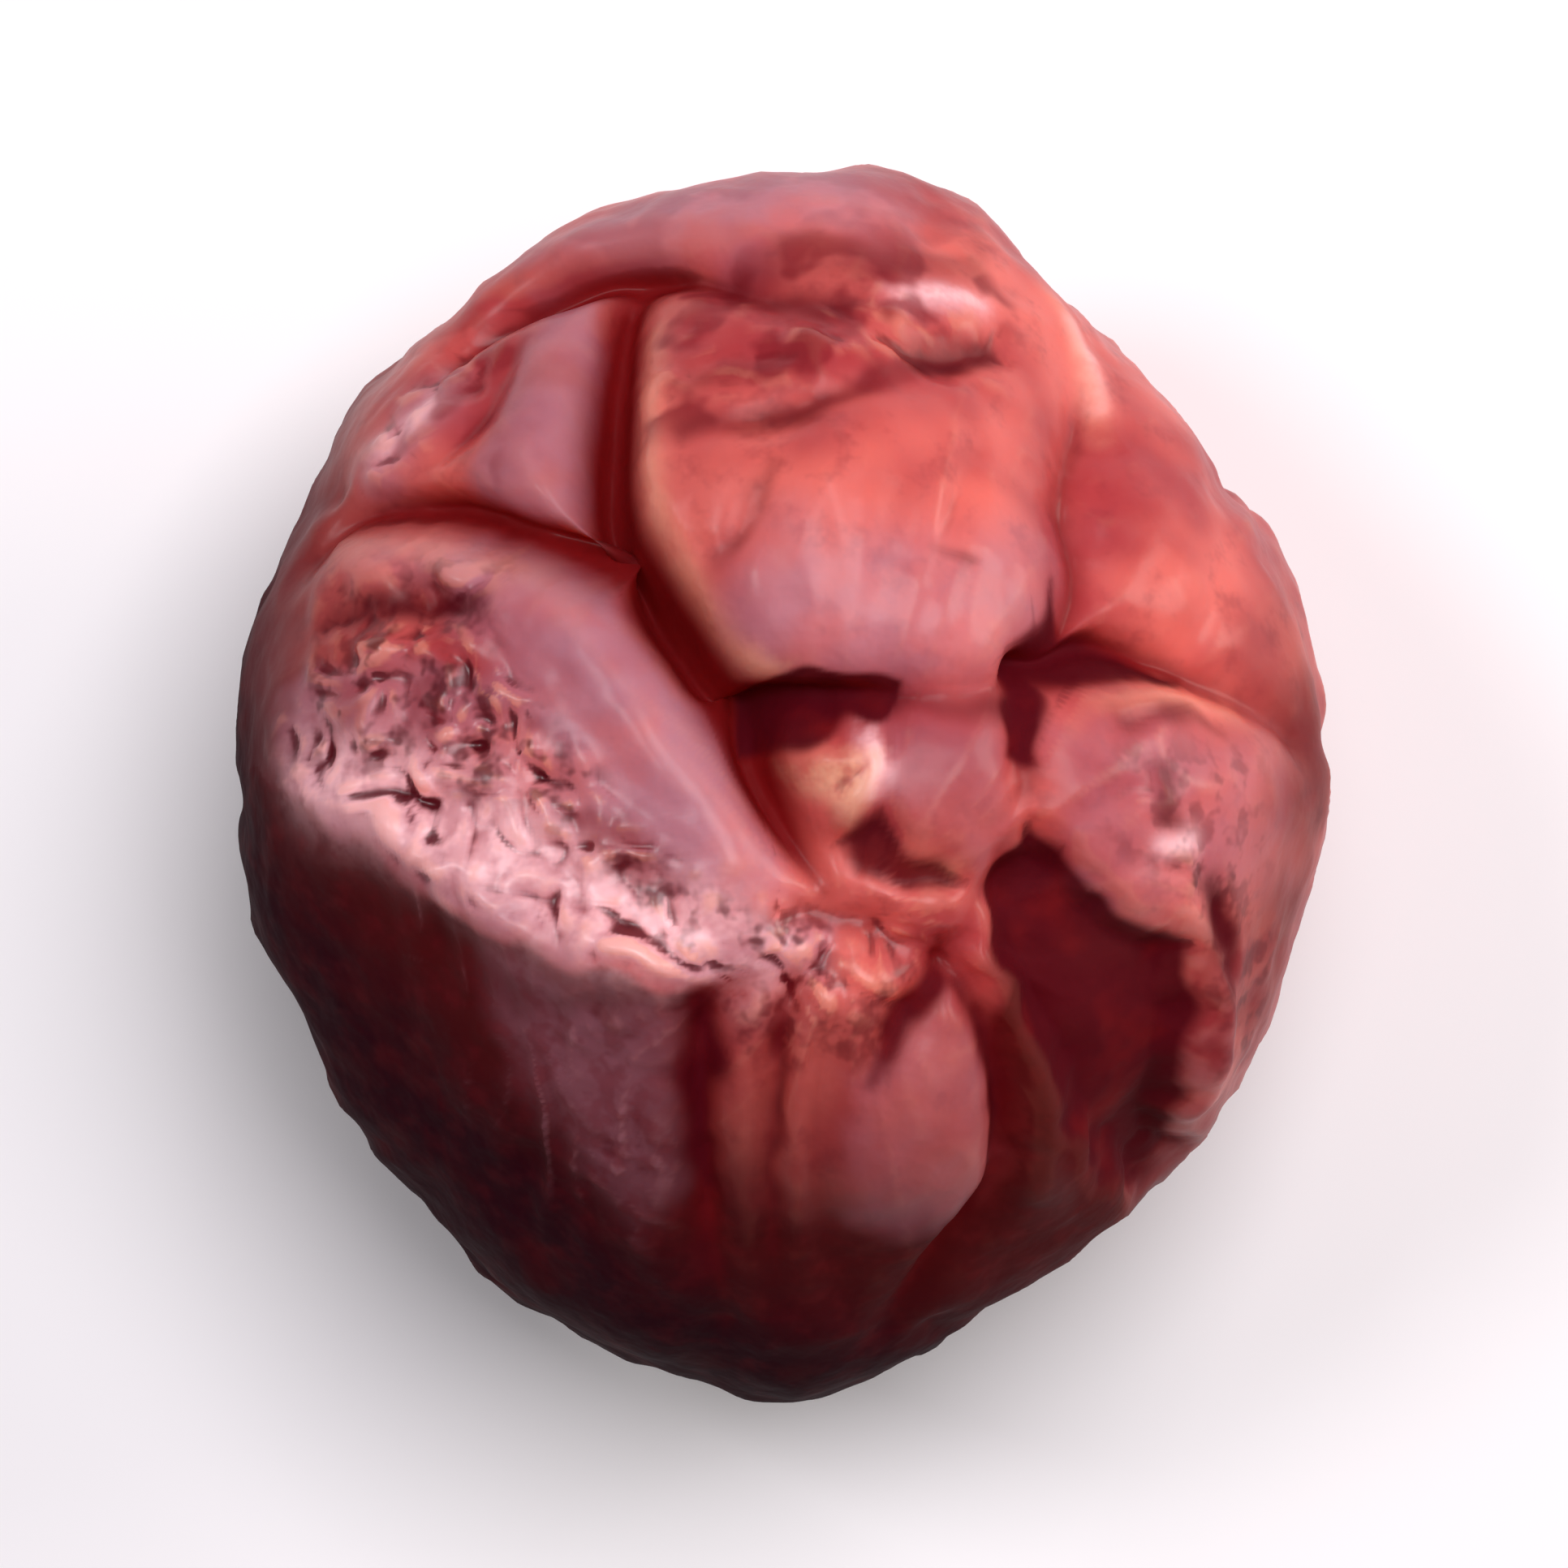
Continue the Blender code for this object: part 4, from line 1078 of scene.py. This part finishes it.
SPECKED_AREAS = {
    "upper strip of the pad": (0.4, 1.0, [
        (-4.5, 0.2), (-4.3, 1.0), (-3.6, 1.25), (-2.9, 1.2), (-2.1, 0.5), (-1.4, -0.4), (-0.7, -1.1),
        (0.6, -1.4), (0.4, -1.9), (-0.8, -1.8), (-1.2, -1.2), (-2.2, -0.3), (-3.2, 0.1),
    ]),
    "dimple": (0.6, 0.7, [(-4.4, 1.1), (-4.3, 2.0), (-2.7, 2.0), (-2.6, 1.2)]),
    "flank": (0.8, 0.4, [(-4.4, -0.6), (-1.2, -2.2), (-1.1, -4.6), (-3.0, -4.0)]),
    "right lobe": (0.5, 0.5, [(3.1, 0.3), (4.3, 0.3), (4.6, -0.8), (3.6, -1.1), (3.0, -0.4)]),
    "right flank": (0.4, 0.7, [
        (3.6, -0.9), (4.2, -0.8), (4.6, -1.6), (4.5, -2.8), (4.1, -3.4), (3.95, -2.4),
    ]),
    "grooves under the pucker": (0.4, 0.7, [(-0.6, -1.8), (1.4, -1.7), (1.0, -2.6), (-0.7, -2.8)]),
}
MOTTLED_AREAS = {
    "top of the upper lobe": (0.4, 1.0, [
        (-1.3, 3.1), (0.9, 3.66), (2.1, 4.0), (2.2, 4.5), (1.6, 5.0), (-0.7, 4.9), (-1.35, 4.5),
    ]),
    "right flank": (0.4, 0.8, [
        (3.2, -1.2), (4.0, -0.9), (4.6, -1.4), (4.5, -2.6), (3.9, -3.5), (3.75, -2.4), (3.4, -1.6),
    ]),
    "upper strip of the pad": (0.5, 0.8, [
        (-4.5, 0.5), (-4.1, 1.1), (-2.8, 1.1), (-1.7, 0.1), (-0.8, -0.9), (-1.3, -1.2), (-2.2, -0.3),
        (-3.2, 0.2),
    ]),
    "upper left edge": (0.4, 0.8, [(-4.2, 2.9), (-2.6, 2.8), (-2.4, 4.4), (-3.2, 4.6)]),
    "top lobe": (0.5, 0.4, [(-2.4, 5.0), (2.2, 5.1), (1.4, 5.9), (-1.4, 5.9)]),
}
print("more patches:", *map(len, (PAINTED_LIT_FACETS, BROWN_AND_SHADE_AREAS, SPECKED_AREAS, MOTTLED_AREAS)))

# %% The side in painted shade
# The way to the lit side; the side turned away from it is painted in shade.
LIT_SIDE_WAY = unit(np.array([0.50, 0.55, 0.75]))
SHADE_START, SHADE_SLOPE = 0.45, 1.1


def shade_mark(points):
    """How far a point faces away from the lit side, from 0 to 1: its share of painted shade.

    It is a start less a slope times the cosine of the angle to that side. Below the widest level
    the height is left out, so the underside takes the colour of the side over it.
    """
    u = unit(points)
    u[:, 2] = np.maximum(u[:, 2], 0)
    return np.clip(SHADE_START - SHADE_SLOPE * (u @ LIT_SIDE_WAY), 0, 1)


painted_shade_side = shade_mark(body)
print("share in the dark:", (painted_shade_side > 0.5).mean().round(2))

# %% All the marks
SCAR_SPREAD, EYE_SPREAD = 0.72, 0.20
# Some marks paint light and shade into the colour: shade on the flank, in the folds, troughs, grooves and
# hollows, a sheen, glints, a lit facet and glow on the lips.
MARKS = {
    "fold": np.clip(fold_mark, 0, 1),
    "crest": crest,
    "lobe": lobe,
    "painted_sheen": np.clip(along(body, PAINTED_SHEEN) + areas(wavering, PAINTED_SHEEN_AREAS), 0, 1),
    "flank": painted_shade_side,
    "brown_and_shade": np.clip(areas(wavering, BROWN_AND_SHADE_AREAS), 0, 1),
    "light": np.clip(along(body, PAINTED_GLINTS), 0, 1),
    "painted_lit_facet": np.clip(areas(wavering, PAINTED_LIT_FACETS), 0, 1),
    "dark": np.clip(along(wavering, DARK_SKIN_AND_SHADE) + areas(wavering, DARK_AND_SHADE_AREAS), 0, 1),
    "painted_lit_lip": np.clip(along(body, PAINTED_LIT_LIPS), 0, 1),
    "net": crumpled_share(body),
    "rilled": areas(body, RILLED_AREAS),
    "mottled": np.clip(areas(wavering, MOTTLED_AREAS), 0, 1),
    "specked": np.clip(areas(wavering, SPECKED_AREAS), 0, 1),
    "scar": bell(body, SCAR_CENTRE, SCAR_SPREAD),
    "eye": bell(body, SCAR_CENTRE, EYE_SPREAD),
}
print("marks:", {name: (round(float(m.min()), 2), round(float(m.max()), 2)) for name, m in MARKS.items()})


# %% The skin's mesh
def make_skin(name):
    """The berry's skin as one closed mesh whose attributes carry the marks."""
    mesh = bpy.data.meshes.new(name)
    mesh.from_pydata((skin * MM).tolist(), [], squares.tolist())
    for mark, values in MARKS.items():
        layer = mesh.attributes.new(mark, "FLOAT", "POINT")
        layer.data.foreach_set("value", values.astype(np.float32))
    mesh.shade_smooth()
    piece = bpy.data.objects.new(name, mesh)
    bpy.context.scene.collection.objects.link(piece)
    return piece


berry = make_skin("cranberry_skin")
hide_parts("cranberry")
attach(berry, "root")
print("skin mesh:", len(berry.data.vertices), "points,", len(MARKS), "marks")

# %% [markdown]
# ## Shader arithmetic
# A material here is a sum of many small rules. Wiring Math nodes one by one hides what they say, so
# one small class wraps a socket and lets Python's own operators add the nodes. Colours go through a
# Mix node instead, because a Math node would turn a colour grey.


# %% Shader arithmetic
class Wire:
    """A shader socket that takes part in Python arithmetic. Each operator adds one Math node."""

    def __init__(self, tree, socket=None):
        self.tree, self.socket = tree, socket

    def node(self, kind, settings=(), sockets=(), output=0):
        """A node of a kind. Its settings are set first, then each socket gets its value or link."""
        made = self.tree.nodes.new(kind)
        for name, value in dict(settings).items():
            setattr(made, name, value)
        for name, value in dict(sockets).items():
            if isinstance(value, Wire):
                self.tree.links.new(value.socket, made.inputs[name])
            else:
                made.inputs[name].default_value = value
        return Wire(self.tree, made.outputs[output]) if made.outputs else None

    def math(self, operation, *values):
        """A Math node of this operation on these values. Its result isn't clamped."""
        return self.node("ShaderNodeMath", {"operation": operation}, dict(enumerate(values)))

    def __add__(self, other):
        return self.math("ADD", self, other)

    def __sub__(self, other):
        return self.math("SUBTRACT", self, other)

    def __rsub__(self, other):
        return self.math("SUBTRACT", other, self)

    def __mul__(self, other):
        return self.math("MULTIPLY", self, other)

    __radd__, __rmul__ = __add__, __mul__

    def kept(self, low=0.0, high=1.0):
        """The value, no lower than low and no higher than high."""
        return self.math("MAXIMUM", self.math("MINIMUM", self, high), low)

    def ramp(self, low, high):
        """Zero under low, one over high, and an even S curve between."""
        ends = {"Value": self, "From Min": low, "From Max": high}
        return self.node("ShaderNodeMapRange", {"interpolation_type": "SMOOTHSTEP"}, ends)

    def mix(self, low, high):
        """A colour between two colours, by this value."""
        return self.node("ShaderNodeMix", {"data_type": "RGBA"}, {0: self, 6: low, 7: high}, 2)


print("a wire's own methods:", [name for name in vars(Wire) if not name.startswith("__")])


# %% [markdown]
# ## The skin's colour and gloss
# Dried cranberry skin is a dark red layer over dark, sugary flesh. Three things make its look. Its
# colour is painted to follow the light: folds are painted near black as shade, and thin crests and
# lips are painted orange-red as glow. Light goes into it and comes out again a millimetre away,
# which is what the subsurface part of the shader does. And it is sticky, so it has a clear, slightly
# uneven gloss on top of a rougher skin.

# %% The skin's colours
# Deep, floor red, shady and near black also serve as painted shade; pale, light, cream and salmon also
# serve as painted sheen, glints, a lit facet and glow.
DEEP = (0.070, 0.0008, 0.0045, 1)
FLOOR_RED = (0.170, 0.0045, 0.0055, 1)
SHADY = (0.110, 0.0060, 0.0075, 1)
NEAR_BLACK = (0.022, 0.0006, 0.0040, 1)
WINE = (0.20, 0.008, 0.014, 1)
RED = (0.36, 0.026, 0.028, 1)
BRIGHT = (0.70, 0.125, 0.098, 1)
SALMON = (0.80, 0.300, 0.200, 1)
SHEEN_MAUVE = (0.42, 0.165, 0.215, 1)
GLINT_PINK = (0.88, 0.470, 0.500, 1)
CREAM = (0.82, 0.400, 0.260, 1)
BROWN = (0.064, 0.0030, 0.0040, 1)
CORK = (0.42, 0.150, 0.070, 1)
EYE = (0.10, 0.025, 0.014, 1)
# The noises that vary the colour and the bump: size of their features in mm, detail and roughness
GRAINS = {
    "mottle": (1.7, 2.0, 0.55),
    "blotch": (0.7, 2.0, 0.5),
    "speck": (0.45, 3.0, 0.65),
    "spot": (0.3, 2.0, 0.6),
    "fine": (0.16, 1.0, 0.55),
}
BUMP_STRENGTH, BUMP_HEIGHT = 0.35, 0.00004
SUBSURFACE_REACH = 0.0011
print("noises, mm:", {name: size for name, (size, _, _) in GRAINS.items()})


# %% How the colours are laid
def skin_colour(mark, grain):
    """The skin's colours, laid over each other from the ground up. Each mix is by a share of its own."""
    mottle, blotch, speck, spot = (grain[name] for name in ("mottle", "blotch", "speck", "spot"))
    crest, flank, brown_and_shade, net = (mark[name] for name in ("crest", "flank", "brown_and_shade", "net"))
    troughs = (crest * -1).ramp(0.3, 1.8)
    colour = mottle.ramp(0.34, 0.68).mix(RED, BRIGHT)
    colour = (speck.ramp(0.5, 0.75) * 0.4).mix(colour, WINE)
    # Painted shade on the side turned from the light.
    colour = (flank * 1.3 + mottle * 0.5 - 0.25).ramp(0.1, 0.8).mix(colour, SHADY)
    # Brown skin, and painted shade where it covers the dark flank, the low rim and the wedge.
    colour = (brown_and_shade * (mottle.ramp(0.3, 0.7) * 0.1 + 0.9)).mix(colour, BROWN)
    # A painted pale sheen, the light's reflection on the faces that turn to it.
    sheen_share = mark["painted_sheen"] * (0.85 - brown_and_shade * 0.3) + 0.10 * (1 - flank) * (1 - brown_and_shade)
    colour = (sheen_share * (blotch.ramp(0.3, 0.65) * 0.4 + 0.6)).mix(colour, SHEEN_MAUVE)
    # Painted glints and highlights.
    light = mark["light"] * (crest * 0.3 + speck.ramp(0.35, 0.6) * 0.5 + 0.5)
    colour = light.kept().mix(colour, GLINT_PINK)
    # A painted lit facet.
    colour = (mark["painted_lit_facet"] * (speck.ramp(0.35, 0.6) * 0.7 + 0.3)).mix(colour, CREAM)
    # Painted glow and highlights on the lit lips.
    colour = (mark["painted_lit_lip"] * (speck.ramp(0.2, 0.6) * 0.4 + 0.4)).mix(colour, SALMON)
    # Painted glow on the crests.
    glow = crest.ramp(0.3, 1.6) * (1 - flank) * (1 - brown_and_shade * 0.7)
    colour = (glow * (net * 0.4 + 0.1)).mix(colour, SALMON)
    # Painted sheen on the crests of the rills.
    colour = (mark["rilled"] * crest.ramp(0.3, 2.6) * 0.22).mix(colour, SHEEN_MAUVE)
    # Painted shade in the troughs and between the lobes.
    sunken = troughs * (net * 0.5 + 0.35) + mark["lobe"].ramp(-0.3, -1.4) * 0.4
    colour = sunken.kept().mix(colour, DEEP)
    colour = (mark["mottled"] * blotch.ramp(0.47, 0.60) * 0.75).mix(colour, WINE)
    colour = (mark["specked"] * spot.ramp(0.46, 0.64) * 0.8).mix(colour, DEEP)
    # Painted shade, near black, on the side turned from the light.
    shadow = flank.ramp(0.50, 0.85) * (1 - blotch.ramp(0.46, 0.70) * 0.35)
    colour = shadow.mix(colour, NEAR_BLACK)
    colour = (brown_and_shade * (1 - flank * 0.6) * spot.ramp(0.42, 0.80) * 0.14).mix(colour, RED)
    # Painted shade in the folds.
    colour = mark["fold"].ramp(0.12, 0.50).mix(colour, FLOOR_RED)
    # Dark spots and mottles, and painted shade along the grooves and in the hollows.
    bottom = (blotch.ramp(0.5, 0.8) * 0.6).mix(DEEP, FLOOR_RED)
    colour = (mark["dark"].ramp(0.1, 0.9) * 0.96).mix(colour, bottom)
    colour = mark["scar"].ramp(0.25, 0.75).mix(colour, CORK)
    return mark["eye"].ramp(0.3, 0.8).mix(colour, EYE)


print("marks that steer the colour:", ", ".join(MARKS))


# %% The skin's material
def new_tree(name):
    """A material whose tree of nodes is empty, and a wire to start from."""
    material = bpy.data.materials.new(name)
    material.use_nodes = True
    material.node_tree.nodes.clear()
    return material, Wire(material.node_tree)


def skin_material():
    """The skin: colours mixed by the marks, uneven gloss, and a fine bump under it."""
    material, wire = new_tree("cranberry skin")
    place = wire.node("ShaderNodeTexCoord", output=3)
    mark, grain = {}, {}
    for name in MARKS:
        mark[name] = wire.node("ShaderNodeAttribute", {"attribute_name": name}, output=2)
    for name, (size, detail, rough) in GRAINS.items():
        sockets = {"Vector": place, "Scale": 1 / (size * MM), "Detail": detail, "Roughness": rough}
        grain[name] = wire.node("ShaderNodeTexNoise", {}, sockets)
    dull = (mark["flank"].ramp(0.2, 0.8) + mark["brown_and_shade"] * 0.7 + mark["fold"] + mark["dark"]).kept()
    roughness = 0.40 + grain["speck"] * 0.14 + dull * 0.30 + mark["scar"] * 0.3
    bump = {"Height": grain["fine"], "Strength": BUMP_STRENGTH, "Distance": BUMP_HEIGHT}
    sockets = {
        "Base Color": skin_colour(mark, grain),
        "Roughness": roughness.kept(0.15, 0.9),
        "Normal": wire.node("ShaderNodeBump", {}, bump),
        "IOR": 1.40,
        "Specular IOR Level": 0.08,
        "Subsurface Weight": 0.5,
        "Subsurface Radius": (1.0, 0.22, 0.12),
        "Subsurface Scale": SUBSURFACE_REACH,
        "Coat Weight": (1 - dull) * (mark["net"] * 0.25 + 0.35),
        "Coat Roughness": 0.28,
    }
    shader = wire.node("ShaderNodeBsdfPrincipled", {"subsurface_method": "BURLEY"}, sockets)
    wire.node("ShaderNodeOutputMaterial", {}, {"Surface": shader})
    return material


berry.data.materials.append(skin_material())
print("skin nodes:", len(berry.data.materials[0].node_tree.nodes))

# %% [markdown]
# ## Floor and light
# The photograph has a white surround with soft light from above, brighter from the upper right, so
# the lower left of the berry falls into the dark. A pale floor, one large soft light overhead, one
# low at the upper right and a small one high at the upper left give that. The low light also shines
# through the thin lips of skin.

# %% Floor and light
FLOOR_SIZE, FLOOR_GAP = 0.6, 0.00002
FLOOR_COLOUR, FLOOR_ROUGHNESS = (0.93, 0.91, 0.92, 1), 0.7
SURROUND_COLOUR, SURROUND_STRENGTH = (0.95, 0.96, 1.0, 1), 0.09
# Place in metres, size in metres, power in watts and colour
# The dark of the berry's lower left and the glow of its lips are also painted into the skin's colour.
LIGHTS = {
    "overhead": ((0.03, 0.045, 0.15), 0.09, 0.2, (1.0, 0.96, 1.0)),
    "right": ((0.12, 0.045, 0.05), 0.06, 0.086, (1.0, 0.95, 0.88)),
    "upper left": ((-0.09, 0.04, 0.14), 0.045, 0.08, (1.0, 0.97, 1.0)),
}


def make_floor():
    """A plain pale sheet just under the berry."""
    mesh = bpy.data.meshes.new("floor")
    half = FLOOR_SIZE / 2
    rim = [(-half, -half), (half, -half), (half, half), (-half, half)]
    mesh.from_pydata([(x, y, -FLOOR_GAP) for x, y in rim], [], [(0, 1, 2, 3)])
    floor = bpy.data.objects.new("floor", mesh)
    bpy.context.scene.collection.objects.link(floor)
    material, wire = new_tree("pale floor")
    sockets = {"Base Color": FLOOR_COLOUR, "Roughness": FLOOR_ROUGHNESS}
    shader = wire.node("ShaderNodeBsdfPrincipled", {}, sockets)
    wire.node("ShaderNodeOutputMaterial", {}, {"Surface": shader})
    mesh.materials.append(material)


def make_light(name, place, size, power, colour):
    """A square area light that faces the berry's middle."""
    data = bpy.data.lights.new(name, "AREA")
    data.size, data.energy, data.color = size, power, colour
    lamp = bpy.data.objects.new(name, data)
    lamp.location = place
    aim = lamp.location.copy()
    aim.z -= HEIGHT / 2 * MM
    lamp.rotation_euler = aim.to_track_quat("Z", "Y").to_euler()
    bpy.context.scene.collection.objects.link(lamp)


make_floor()
for name, (place, size, power, colour) in LIGHTS.items():
    make_light(name, place, size, power, colour)
world = bpy.data.worlds.new("soft surround")
world.use_nodes = True
surround = world.node_tree.nodes["Background"]
surround.inputs["Color"].default_value = SURROUND_COLOUR
surround.inputs["Strength"].default_value = SURROUND_STRENGTH
bpy.context.scene.world = world
bpy.context.scene.view_settings.view_transform = "Standard"
print("lights:", list(LIGHTS))

# %% [markdown]
# ## Size
# The dressed berry has to fill the same box as the solid.
